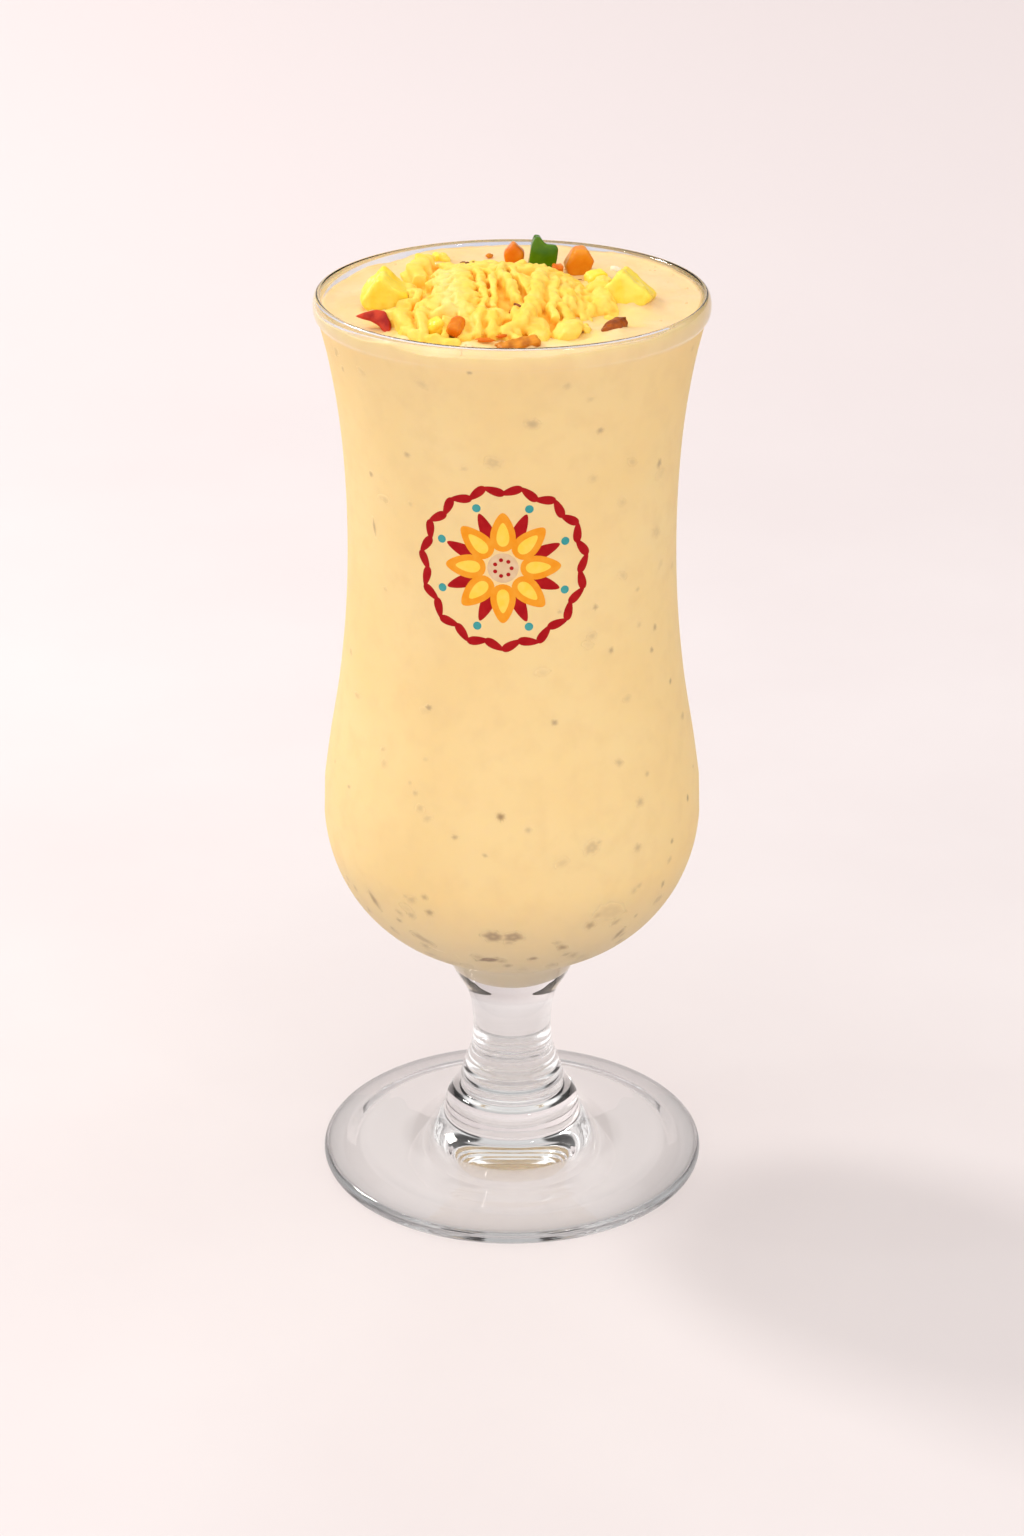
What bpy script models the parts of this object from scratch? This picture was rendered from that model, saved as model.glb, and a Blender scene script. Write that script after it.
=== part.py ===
"""A falooda served in its footed hurricane glass.

A turned glass is filled nearly to the rim with a thick drink. A heap of scraped mango ice
cream lies on the drink, with cubes of mango and pieces of papaya, green candied fruit,
cherry peel, raisin, almond and cashew on and round it.

Lengths are in metres and +Z is up. The origin is on the axis of the glass, at the bottom
of its foot, and the front of the glass faces -Y.
"""

import math
import random

import bmesh
import bpy
from mathutils import Euler, Vector

CLEARANCE = 0.0003          # kept between pieces that touch
SEGMENTS = 44               # sides of the turned pieces
SAME_POINT = 0.00001        # points nearer than this are one point

# The glass
GLASS_HEIGHT = 0.1972
RIM_RADIUS = 0.0400
BEAD_HALF_WIDTH = 0.00105   # rounded bead round the rim
BEAD_HALF_HEIGHT = 0.0024
WALL = 0.0020
BELLY_RADIUS = 0.0400
BELLY_HEIGHT = 0.0860
BOWL_SHRINK = 0.0042        # how much nearer the bowl's bottom is to the belly's centre
BOWL_POWER = 3.4
BASE_THICKNESS = 0.0034     # glass under the drink at the axis, but for the well
WELL_RADIUS = 0.0150        # the bowl's bottom has a round well that dips into the neck
WELL_DEPTH = 0.0078
WELL_POWER = 0.8            # below 1 the well is flatter at its bottom and steeper at its brim
FOOT_RADIUS = 0.0418
FOOT_EDGE = 0.0017          # radius of the foot's rounded edge
RING_INNER = 0.0362         # the foot stands on a flat ring outside this radius

# Radius and height of the hollow underside of the foot, from its ring to the axis
UNDERSIDE = (
    (0.0346, 0.0010),
    (0.0200, 0.0019),
    (0.0, 0.0024),
)

# Radius and height of the outside, from under the bead down to the belly
WALL_OUTLINE = (
    (0.0391, 0.1929),
    (0.0372, 0.1848),
    (0.0353, 0.1730),
    (0.0342, 0.1600),
    (0.0339, 0.1450),
    (0.0345, 0.1300),
    (0.0361, 0.1148),
    (0.0384, 0.1010),
    (0.0397, 0.0920),
)

# Radius and height of the stem and its stacked rings, down to the top of the foot
STEM_OUTLINE = (
    (0.0147, 0.0500),
    (0.0131, 0.0470),
    (0.0121, 0.0450),
    (0.0103, 0.0419),
    (0.0091, 0.0382),
    (0.0086, 0.0344),
    (0.0085, 0.0312),
    (0.0089, 0.0270),
    (0.0105, 0.0222),
    (0.0113, 0.0190),
    (0.0113, 0.0170),
    (0.0131, 0.0161),
    (0.0144, 0.0140),
    (0.0149, 0.0115),
    (0.0154, 0.0100),
    (0.0185, 0.0078),
    (0.0240, 0.0060),
    (0.0320, 0.0045),
)

# The drink
LEVEL = 0.1952
BRIM_ROUND = 0.0004         # the edge of the surface is rounded by this much
BRIM_SLOPE = 0.3            # how fast the inside widens between the wall and the bead

# The heap of scraped ice cream: an uneven dome with flakes that run down its slopes
HEAP_CENTRE = (-0.0026, -0.0045)
HEAP_HALF_WIDTH = 0.0200
HEAP_HALF_DEPTH = 0.0252
HEAP_HEIGHT = 0.0060
HEAP_SINK = 0.0026
HEAP_POWER = 0.60           # below 1 the dome is flatter on top and steeper at its foot
DIP_CENTRE = (0.0005, -0.0150)
DIP_RADIUS = 0.0042
DIP_DEPTH = 0.0022
FLAKE_ROWS = 9              # flakes across the heap, on the front slope and on the back one
FLAKE_WIDTH = 0.0040
FLAKE_THICKNESS = 0.0030
FLAKE_STATIONS = 5
FLAKE_SIDES = 5
FLAKE_WANDER = 0.0006       # how far a flake strays sideways
FLAKE_UNEVEN = 0.0003       # and up or down
FLAKE_LIFT = (-0.0003, 0.0010)
FLAKE_SPREAD = (0.65, 1.25)         # the narrowest and the widest flake, against the usual
FLAKE_REACH = (0.92, 1.08)          # where flakes end, against the foot of the heap
FLAKE_TAPER = (0.32, 0.74)          # how wide a flake is at its ends, and what its middle adds
RIDGE_Y = 0.0030            # the flakes start at this ridge
RIDGE_HALF = 0.0155
RIDGE_UNEVEN = 0.0035
LUMPS = 8                   # rounded scraps round the foot of the heap
LUMP_SIZE = 0.0042
LUMP_SPREAD = (0.7, 1.2)
LUMP_REACH = (0.86, 0.98)
LUMP_UNEVEN = 0.12
LUMP_SEAT = 0.62            # height of a lump's centre, as a share of its size

# The cut pieces: finish, size, rounding of the edges, centre, and turn in degrees
CUT_PIECES = {
    "mango_cube_left": (
        "mango", (0.0072, 0.0074, 0.0072), 0.0007, (-0.0256, -0.0040, 0.1975), (12, 43, 10)),
    "mango_cube_right": (
        "mango", (0.0080, 0.0076, 0.0076), 0.0007, (0.0229, -0.0030, 0.1970), (-10, 38, -20)),
    "mango_bit_back": (
        "mango", (0.0036, 0.0030, 0.0028), 0.0005, (-0.0148, 0.0255, 0.1964), (10, 20, 30)),
    "mango_bit_right": (
        "mango", (0.0042, 0.0036, 0.0030), 0.0005, (0.0172, 0.0102, 0.1967), (4, -8, 20)),
    "mango_bit_front": (
        "mango", (0.0036, 0.0032, 0.0028), 0.0005, (-0.0150, -0.0240, 0.1969), (20, -20, 15)),
    "papaya_front": (
        "papaya", (0.0030, 0.0044, 0.0026), 0.0005, (-0.0108, -0.0262, 0.1976), (24, 10, -20)),
    "papaya_bit": (
        "papaya", (0.0022, 0.0022, 0.0020), 0.0004, (0.0092, 0.0108, 0.1987), (10, 0, 10)),
    "almond_front": (
        "almond", (0.0084, 0.0028, 0.0020), 0.0005, (0.0014, -0.0328, 0.1960), (18, -6, 22)),
    "cashew_crumb": (
        "cashew", (0.0022, 0.0020, 0.0018), 0.0004, (0.0212, 0.0190, 0.1960), (10, 10, 30)),
}
POCKET_ROOM = 0.00042       # how far a cutter's corners lie outside its piece
SKEW = 0.08                 # how far a corner is pushed about, as a share of the least side
SMALL_ROUND = 0.0005        # an edge rounded by no more than this is a plain bevel

# The raisins: size, centre, and turn in degrees
RAISINS = {
    "raisin_right": ((0.0080, 0.0036, 0.0032), (0.0200, -0.0218, 0.1962), (0, -8, 50)),
    "raisin_middle": ((0.0036, 0.0016, 0.0016), (0.0010, -0.0170, 0.1987), (0, 20, -64)),
}
RAISIN_WRINKLE = 0.06

# The flat pieces: finish, thickness, rounding, centre, turn in degrees, and the outline in
# width and height that shows from the front
SLABS = {
    "green_candied_fruit": ("green_candied_fruit", 0.0030, 0.0005, (0.0059, 0.0160, 0.1990), (-6, 3, 6), (
        (-0.0033, -0.0044),
        (0.0027, -0.0048),
        (0.0034, 0.0028),
        (0.0028, 0.0033),
        (0.0008, 0.0034),
        (-0.0004, 0.0050),
        (-0.0014, 0.0052),
        (-0.0021, 0.0036),
    )),
    "cherry_peel": ("cherry_peel", 0.0024, 0.0005, (-0.0266, -0.0190, 0.1962), (-22, 0, -6), (
        (-0.0043, 0.0012),
        (-0.0026, 0.0006),
        (-0.0010, 0.0002),
        (0.0006, -0.0006),
        (0.0022, -0.0026),
        (0.0031, -0.0026),
        (0.0029, 0.0004),
        (0.0019, 0.0023),
        (0.0002, 0.0025),
        (-0.0020, 0.0020),
    )),
    "papaya_left": ("papaya", 0.0034, 0.0006, (0.0004, 0.0178, 0.2002), (0, 0, 0), (
        (-0.0014, -0.0030),
        (0.0018, -0.0027),
        (0.0021, 0.0003),
        (-0.0001, 0.0025),
        (-0.0022, 0.0000),
    )),
    "papaya_right": ("papaya", 0.0048, 0.0010, (0.0136, 0.0166, 0.1988), (0, 0, 8), (
        (-0.0010, -0.0034),
        (0.0010, -0.0028),
        (0.0026, -0.0014),
        (0.0030, 0.0002),
        (0.0015, 0.0027),
        (-0.0010, 0.0026),
        (-0.0030, -0.0006),
        (-0.0023, -0.0026),
    )),
}

# Each finish: colour, roughness and how much light it lets through
FINISHES = {
    "clear_glass": ((0.95, 0.97, 0.97), 0.03, 1.0),
    "drink": ((0.93, 0.72, 0.40), 0.35, 0.0),
    "mango_ice_cream": ((0.97, 0.76, 0.24), 0.45, 0.0),
    "mango": ((0.98, 0.66, 0.06), 0.35, 0.0),
    "papaya": ((0.92, 0.30, 0.04), 0.35, 0.0),
    "green_candied_fruit": ((0.09, 0.30, 0.01), 0.25, 0.0),
    "cherry_peel": ((0.50, 0.02, 0.02), 0.25, 0.0),
    "raisin": ((0.22, 0.08, 0.02), 0.45, 0.0),
    "almond": ((0.50, 0.26, 0.09), 0.60, 0.0),
    "cashew": ((0.95, 0.86, 0.66), 0.50, 0.0),
}

SEED = 7


def new_collection(name):
    collection = bpy.data.collections.new(name)
    bpy.context.scene.collection.children.link(collection)
    return collection


def clear_scene():
    for obj in list(bpy.data.objects):
        bpy.data.objects.remove(obj, do_unlink=True)


def material(name):
    colour, roughness, transmission = FINISHES[name]
    made = bpy.data.materials.get(name) or bpy.data.materials.new(name)
    made.use_nodes = True
    shader = made.node_tree.nodes["Principled BSDF"]
    shader.inputs["Base Color"].default_value = (*colour, 1.0)
    shader.inputs["Roughness"].default_value = roughness
    shader.inputs["Metallic"].default_value = 0.0
    shader.inputs["Transmission Weight"].default_value = transmission
    made.diffuse_color = (*colour, 1.0)
    return made


def new_object(name, mesh, collection, finish=None):
    obj = bpy.data.objects.new(name, mesh)
    collection.objects.link(obj)
    if finish is not None:
        mesh.materials.clear()
        mesh.materials.append(material(finish))
    return obj


def smooth(mesh, angle_deg=35.0):
    mesh.shade_smooth()
    mesh.set_sharp_from_angle(angle=math.radians(angle_deg))


def settle(obj):
    """Turn an object's modifiers into its mesh, and drop any loose scrap or sealed hollow."""
    bpy.context.view_layer.update()
    graph = bpy.context.evaluated_depsgraph_get()
    mesh = bpy.data.meshes.new_from_object(obj.evaluated_get(graph))
    obj.modifiers.clear()
    obj.data = mesh
    keep_largest_body(mesh)


def keep_largest_body(mesh):
    work = bmesh.new()
    work.from_mesh(mesh)
    left = set(work.faces)
    bodies = []
    while left:
        body = []
        front = [left.pop()]
        while front:
            face = front.pop()
            body.append(face)
            for edge in face.edges:
                for other in edge.link_faces:
                    if other in left:
                        left.discard(other)
                        front.append(other)
        bodies.append(body)
    bodies.sort(key=len)
    for body in bodies[:-1]:
        bmesh.ops.delete(work, geom=body, context="FACES")
    bmesh.ops.triangulate(work, faces=work.faces[:])
    work.to_mesh(mesh)
    work.free()


# Outlines

def smooth_line(points, steps):
    """A centripetal curve through the points, with the given number of steps in each span."""
    knots = [Vector(p) for p in points]
    knots = [2 * knots[0] - knots[1]] + knots + [2 * knots[-1] - knots[-2]]
    line = []
    for before, start, end, after in zip(knots, knots[1:], knots[2:], knots[3:]):
        first = (start - before).length ** 0.5
        span = (end - start).length ** 0.5
        last = (after - end).length ** 0.5
        leave = span * ((start - before) / first - (end - before) / (first + span))
        leave += end - start
        arrive = span * ((after - end) / last - (after - start) / (span + last))
        arrive += end - start
        for i in range(steps):
            t = i / steps
            point = start * (2 * t ** 3 - 3 * t ** 2 + 1) + leave * (t ** 3 - 2 * t ** 2 + t)
            point += end * (3 * t ** 2 - 2 * t ** 3) + arrive * (t ** 3 - t ** 2)
            line.append(point)
    line.append(knots[-2])
    return [tuple(p) for p in line]


def arc(centre, half_width, half_height, start_deg, end_deg, steps):
    points = []
    for i in range(steps + 1):
        angle = math.radians(start_deg + (end_deg - start_deg) * i / steps)
        points.append((centre[0] + half_width * math.cos(angle),
                       centre[1] + half_height * math.sin(angle)))
    return points


def bowl_point(angle_deg, side_inset, bottom_inset):
    """A point of the lower bowl, at an angle below the horizontal through the belly."""
    angle = math.radians(angle_deg)
    low = math.sin(angle) ** BOWL_POWER
    reach = BELLY_RADIUS - BOWL_SHRINK * low
    reach -= side_inset * (1 - low) + bottom_inset * low
    return reach * math.cos(angle), BELLY_HEIGHT - reach * math.sin(angle)


def well_dip(radius, reach):
    """How far the well dips at a radius, where it ends at a given reach."""
    return WELL_DEPTH * max(0.0, 1 - (radius / reach) ** 2) ** WELL_POWER


def inside_line(clearance):
    """The inside of the glass from its bottom up to the bead, moved inwards by a clearance."""
    side = WALL + clearance
    bottom = BASE_THICKNESS + clearance
    line = [(0.0, bowl_point(90, side, bottom)[1])]
    line += [bowl_point(angle, side, bottom) for angle in (79, 73, 67, 55, 43, 31, 19, 7)]
    line = [(radius, height - well_dip(radius, WELL_RADIUS - clearance)) for radius, height in line]
    wall = smooth_line(WALL_OUTLINE[::-1], 1)
    line += [(radius - side, height) for radius, height in wall[:-1]]
    top = (RIM_RADIUS - 2 * BEAD_HALF_WIDTH, GLASS_HEIGHT - BEAD_HALF_HEIGHT)
    line.append((top[0] - clearance, top[1]))
    return line


def glass_outline():
    outline = inside_line(0.0)[:-1]
    bead = (RIM_RADIUS - BEAD_HALF_WIDTH, GLASS_HEIGHT - BEAD_HALF_HEIGHT)
    outline += arc(bead, BEAD_HALF_WIDTH, BEAD_HALF_HEIGHT, 180, -50, 7)
    outline += smooth_line(WALL_OUTLINE, 1)
    outline += [bowl_point(angle, 0.0, 0.0) for angle in (3, 16, 29, 42, 54, 65)]
    outline += smooth_line(STEM_OUTLINE, 1)
    edge = (FOOT_RADIUS - FOOT_EDGE, FOOT_EDGE)
    outline += arc(edge, FOOT_EDGE, FOOT_EDGE, 82, -90, 5)
    outline.append((RING_INNER, 0.0))
    outline += UNDERSIDE
    return outline


def drink_outline():
    side = [point for point in inside_line(CLEARANCE) if point[1] < LEVEL - BRIM_ROUND]
    brim = side[-1][0] + BRIM_SLOPE * (LEVEL - side[-1][1])
    top = [(0.0, LEVEL), (brim - BRIM_ROUND, LEVEL), (brim, LEVEL - BRIM_ROUND)]
    return top + side[::-1]


def turned(name, outline, collection, finish):
    """A solid turned from an outline that runs from the axis, down the outside, to the axis."""
    mesh = bpy.data.meshes.new(name)
    points = [(radius, 0.0, height) for radius, height in outline]
    mesh.from_pydata(points, [(i, i + 1) for i in range(len(points) - 1)], [])
    obj = new_object(name, mesh, collection, finish)
    screw = obj.modifiers.new("turn", "SCREW")
    screw.steps = SEGMENTS
    screw.render_steps = SEGMENTS
    screw.use_merge_vertices = True
    screw.merge_threshold = SAME_POINT
    screw.use_smooth_shade = True
    return obj


# Shapes of the pieces

def block(name, size, round_off, seed):
    """A box with corners pushed about and edges rounded, centred on its own origin."""
    draw = random.Random(seed)
    skew = SKEW * min(size)
    work = bmesh.new()
    bmesh.ops.create_cube(work, size=1.0)
    for vertex in work.verts:
        for axis in range(3):
            vertex.co[axis] = vertex.co[axis] * size[axis] + draw.uniform(-skew, skew)
    segments = 2 if round_off > SMALL_ROUND else 1
    bmesh.ops.bevel(work, geom=work.edges[:], offset=round_off, segments=segments,
                    profile=0.5, affect="EDGES", clamp_overlap=True)
    mesh = bpy.data.meshes.new(name)
    work.to_mesh(mesh)
    work.free()
    smooth(mesh)
    return mesh


def slab(name, outline, thickness, round_off):
    """A flat outline in X and Z, as thick as given along Y, with rounded edges."""
    curve = bpy.data.curves.new(name, "CURVE")
    curve.dimensions = "2D"
    curve.fill_mode = "BOTH"
    curve.extrude = thickness / 2
    spline = curve.splines.new("POLY")
    spline.points.add(len(outline) - 1)
    for point, (x, z) in zip(spline.points, outline):
        point.co = (x, z, 0.0, 1.0)
    spline.use_cyclic_u = True
    guide = bpy.data.objects.new(name, curve)
    bpy.context.scene.collection.objects.link(guide)
    bpy.context.view_layer.update()
    graph = bpy.context.evaluated_depsgraph_get()
    mesh = bpy.data.meshes.new_from_object(guide.evaluated_get(graph))
    bpy.data.objects.remove(guide, do_unlink=True)
    work = bmesh.new()
    work.from_mesh(mesh)
    bmesh.ops.remove_doubles(work, verts=work.verts[:], dist=SAME_POINT)
    bmesh.ops.rotate(work, verts=work.verts[:], matrix=Euler((math.pi / 2, 0, 0)).to_matrix())
    rims = [e for e in work.edges if e.calc_face_angle(0.0) > math.radians(50)]
    bmesh.ops.bevel(work, geom=rims, offset=round_off, segments=2, profile=0.5,
                    affect="EDGES", clamp_overlap=True)
    bmesh.ops.recalc_face_normals(work, faces=work.faces[:])
    work.to_mesh(mesh)
    work.free()
    smooth(mesh)
    return mesh


def pebble(name, size, wrinkle, seed):
    """A small rounded body with a wrinkled skin."""
    draw = random.Random(seed)
    work = bmesh.new()
    bmesh.ops.create_uvsphere(work, u_segments=8, v_segments=6, radius=0.5)
    for vertex in work.verts:
        swell = 1 + draw.uniform(-wrinkle, wrinkle)
        vertex.co = Vector([vertex.co[axis] * size[axis] * swell for axis in range(3)])
    mesh = bpy.data.meshes.new(name)
    work.to_mesh(mesh)
    work.free()
    smooth(mesh, 60.0)
    return mesh


def strand(name, path, widths, thicknesses, sides):
    """A closed band lofted along a path, with an oval section of its own at each point."""
    work = bmesh.new()
    rings = []
    for i, (point, width, thickness) in enumerate(zip(path, widths, thicknesses)):
        ahead = path[min(i + 1, len(path) - 1)] - path[max(i - 1, 0)]
        across = ahead.cross(Vector((0, 0, 1))).normalized()
        upward = across.cross(ahead).normalized()
        ring = []
        for k in range(sides):
            angle = 2 * math.pi * (k + 0.5) / sides
            ring.append(work.verts.new(point + across * (width / 2 * math.cos(angle))
                                       + upward * (thickness / 2 * math.sin(angle))))
        rings.append(ring)
    for near, far in zip(rings, rings[1:]):
        for k in range(sides):
            j = (k + 1) % sides
            work.faces.new((near[k], near[j], far[j], far[k]))
    work.faces.new(rings[0][::-1])
    work.faces.new(rings[-1])
    bmesh.ops.recalc_face_normals(work, faces=work.faces[:])
    bmesh.ops.triangulate(work, faces=work.faces[:])
    mesh = bpy.data.meshes.new(name)
    work.to_mesh(mesh)
    work.free()
    smooth(mesh, 60.0)
    return mesh


# The heap of scraped ice cream

def heap_rise(x, y):
    """How far the dome stands above the drink's level at a place, and 0 outside it."""
    across = (x - HEAP_CENTRE[0]) / HEAP_HALF_WIDTH
    along = (y - HEAP_CENTRE[1]) / HEAP_HALF_DEPTH
    inside = 1 - across ** 2 - along ** 2
    if inside <= 0:
        return 0.0
    apart = math.hypot(x - DIP_CENTRE[0], y - DIP_CENTRE[1]) / DIP_RADIUS
    dip = DIP_DEPTH * math.exp(-apart ** 2)
    return max(0.0, HEAP_HEIGHT * inside ** HEAP_POWER - dip)


def heap_core(name, grow):
    """The solid middle of the heap, half sunk in the drink."""
    work = bmesh.new()
    bmesh.ops.create_uvsphere(work, u_segments=24, v_segments=12, radius=1.0)
    for vertex in work.verts:
        unit = vertex.co.copy()
        x = HEAP_CENTRE[0] + unit.x * (HEAP_HALF_WIDTH + grow)
        y = HEAP_CENTRE[1] + unit.y * (HEAP_HALF_DEPTH + grow)
        if unit.z > 0.01:
            inner = 0.999 * unit.xy
            rise = heap_rise(HEAP_CENTRE[0] + inner.x * HEAP_HALF_WIDTH,
                             HEAP_CENTRE[1] + inner.y * HEAP_HALF_DEPTH) + grow
        else:
            rise = unit.z * (HEAP_SINK + grow)
        vertex.co = Vector((x, y, LEVEL + rise))
    mesh = bpy.data.meshes.new(name)
    work.to_mesh(mesh)
    work.free()
    return mesh


def flake(name, start, end, draw):
    """A band that runs down the slope of the heap, ragged, and never lower than the drink."""
    lift = draw.uniform(*FLAKE_LIFT)
    full = FLAKE_WIDTH * draw.uniform(*FLAKE_SPREAD)
    path = []
    widths = []
    heights = []
    for i in range(FLAKE_STATIONS):
        t = i / (FLAKE_STATIONS - 1)
        shape = FLAKE_TAPER[0] + FLAKE_TAPER[1] * math.sin(math.pi * (0.12 + 0.83 * t))
        widths.append(full * shape * draw.uniform(0.75, 1.20))
        heights.append(FLAKE_THICKNESS * shape * draw.uniform(0.85, 1.05))
        x = start[0] + (end[0] - start[0]) * t + draw.uniform(-1, 1) * FLAKE_WANDER
        y = start[1] + (end[1] - start[1]) * t + draw.uniform(-1, 1) * FLAKE_WANDER
        rise = heap_rise(x, y) + lift + draw.uniform(-1, 1) * FLAKE_UNEVEN
        path.append(Vector((x, y, LEVEL + max(rise, heights[-1] / 2 + CLEARANCE))))
    return strand(name, path, widths, heights, FLAKE_SIDES)


def flakes(collection):
    """Bands of scraped ice cream that fan out from the ridge to the front and to the back."""
    draw = random.Random(SEED)
    made = []
    for facing in (-1, 1):
        for i in range(FLAKE_ROWS):
            side = 2 * (i + 0.5) / FLAKE_ROWS - 1 + draw.uniform(-0.06, 0.06)
            reach = math.sqrt(max(0.0, 1 - (0.96 * side) ** 2))
            foot = draw.uniform(*FLAKE_REACH)
            stray = draw.uniform(-RIDGE_UNEVEN, RIDGE_UNEVEN) * (0.4 + reach)
            start = (HEAP_CENTRE[0] + side * RIDGE_HALF, RIDGE_Y + stray)
            end = (HEAP_CENTRE[0] + side * HEAP_HALF_WIDTH * foot,
                   HEAP_CENTRE[1] + facing * reach * HEAP_HALF_DEPTH * foot)
            name = "flake_%02d" % len(made)
            made.append(new_object(name, flake(name, start, end, draw), collection))
    return made


def lumps(collection):
    """Rounded scraps of ice cream, spread evenly round the foot of the heap."""
    draw = random.Random(SEED + 1)
    made = []
    for i in range(LUMPS):
        angle = 2 * math.pi * (i + draw.uniform(-0.25, 0.25)) / LUMPS
        out = draw.uniform(*LUMP_REACH)
        size = [LUMP_SIZE * draw.uniform(*LUMP_SPREAD) for _ in range(3)]
        x = HEAP_CENTRE[0] + HEAP_HALF_WIDTH * out * math.cos(angle)
        y = HEAP_CENTRE[1] + HEAP_HALF_DEPTH * out * math.sin(angle)
        name = "lump_%02d" % i
        obj = new_object(name, pebble(name, size, LUMP_UNEVEN, i), collection)
        obj.location = (x, y, LEVEL + size[2] * LUMP_SEAT + CLEARANCE)
        made.append(obj)
    return made


def ice_cream_heap(collection, pockets):
    """The heap: the dome with its flakes fused on, cut clear of the pieces set in it."""
    name = "mango_ice_cream"
    heap = new_object(name, heap_core(name, 0.0), collection, name)
    loose = new_collection("flakes")
    scraps = flakes(loose) + lumps(loose)
    join = heap.modifiers.new("join", "BOOLEAN")
    join.operation = "UNION"
    join.operand_type = "COLLECTION"
    join.collection = loose
    join.solver = "MANIFOLD"
    settle(heap)
    for scrap in scraps:
        bpy.data.objects.remove(scrap, do_unlink=True)
    bpy.data.collections.remove(loose)
    cut = heap.modifiers.new("pockets", "BOOLEAN")
    cut.operation = "DIFFERENCE"
    cut.operand_type = "COLLECTION"
    cut.collection = pockets
    cut.solver = "MANIFOLD"
    settle(heap)
    smooth(heap.data, 50.0)


# Fruit and nuts

def pocket(name, mesh, obj, collection):
    """A copy of a piece, grown all round by the clearance, that cuts its place in others."""
    copy = mesh.copy()
    outward = [normal.vector.copy() for normal in copy.vertex_normals]
    for vertex, way in zip(copy.vertices, outward):
        vertex.co += way * POCKET_ROOM
    cutter = new_object(name + "_pocket", copy, collection)
    cutter.matrix_world = obj.matrix_world
    hide(cutter)


def hide(obj):
    obj.hide_render = True
    obj.display_type = "WIRE"


def set_piece(name, mesh, finish, centre, turn, model, pockets):
    """Put a piece where it lies, with the cutter that clears its place."""
    obj = new_object(name, mesh, model, finish)
    obj.location = centre
    obj.rotation_euler = [math.radians(angle) for angle in turn]
    bpy.context.view_layer.update()
    pocket(name, mesh, obj, pockets)


def cut_pieces(model, pockets):
    for seed, (name, facts) in enumerate(CUT_PIECES.items()):
        finish, size, round_off, centre, turn = facts
        set_piece(name, block(name, size, round_off, seed), finish, centre, turn, model, pockets)


def raisins(model, pockets):
    for seed, (name, (size, centre, turn)) in enumerate(RAISINS.items()):
        mesh = pebble(name, size, RAISIN_WRINKLE, seed)
        set_piece(name, mesh, "raisin", centre, turn, model, pockets)


def flat_pieces(model, pockets):
    for name, (finish, thickness, round_off, centre, turn, outline) in SLABS.items():
        mesh = slab(name, outline, thickness, round_off)
        set_piece(name, mesh, finish, centre, turn, model, pockets)


def drink(collection, pockets, heap_pockets):
    """The drink fills the glass to its level, cut clear of the heap and of the sunk pieces."""
    body = turned("drink", drink_outline(), collection, "drink")
    for cutters in (heap_pockets, pockets):
        cut = body.modifiers.new("clear", "BOOLEAN")
        cut.operation = "DIFFERENCE"
        cut.operand_type = "COLLECTION"
        cut.collection = cutters
        cut.solver = "EXACT"
    settle(body)
    smooth(body.data)


def main():
    clear_scene()
    model = new_collection("falooda")
    pockets = new_collection("pockets")
    heap_pockets = new_collection("heap_pocket")
    turned("glass", glass_outline(), model, "clear_glass")
    cut_pieces(model, pockets)
    raisins(model, pockets)
    flat_pieces(model, pockets)
    hide(new_object("heap_core_pocket", heap_core("heap_pocket", CLEARANCE), heap_pockets))
    ice_cream_heap(model, pockets)
    drink(model, pockets, heap_pockets)


main()
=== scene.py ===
"""The looks of a falooda in its footed hurricane glass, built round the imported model.

Lengths are in metres and +Z is up. The origin is on the axis of the glass, at the bottom of its
foot, and the camera looks along +Y. Angles round the glass are in degrees from its front,
and grow towards +X.
"""

import math
import random

import bpy
import numpy as np
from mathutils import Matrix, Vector, noise


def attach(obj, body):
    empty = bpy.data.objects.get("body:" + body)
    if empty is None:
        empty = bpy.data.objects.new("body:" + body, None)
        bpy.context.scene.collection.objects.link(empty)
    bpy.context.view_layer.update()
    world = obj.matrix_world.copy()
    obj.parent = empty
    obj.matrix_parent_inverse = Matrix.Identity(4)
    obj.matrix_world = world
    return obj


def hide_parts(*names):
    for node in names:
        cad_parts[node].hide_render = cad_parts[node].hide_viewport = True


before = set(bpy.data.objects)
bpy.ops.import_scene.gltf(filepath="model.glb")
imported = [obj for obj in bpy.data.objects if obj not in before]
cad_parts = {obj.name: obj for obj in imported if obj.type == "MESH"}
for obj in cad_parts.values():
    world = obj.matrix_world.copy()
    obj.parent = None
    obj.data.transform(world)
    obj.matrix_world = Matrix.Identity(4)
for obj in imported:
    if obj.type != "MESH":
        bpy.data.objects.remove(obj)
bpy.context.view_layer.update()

UP = Vector((0.0, 0.0, 1.0))
SEED = 11  # all random draws start from this
BLACK = (0.0, 0.0, 0.0)
WHITE = (1.0, 1.0, 1.0)
EVEN = (1.0, 1.0, 1.0)  # a pattern that is stretched along no axis


def metres(values):
    """Millimetres turned into metres, in tuples within tuples."""
    if isinstance(values, tuple):
        return tuple(metres(value) for value in values)
    return values / 1000


# The camera of the photograph
CAMERA_PLACE = (0.0, -0.6665, 0.3892)
CAMERA_DOWN = 0.41857  # radians below the horizon
CAMERA_LENS = 80.46  # millimetres, for a frame 36 mm high

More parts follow.
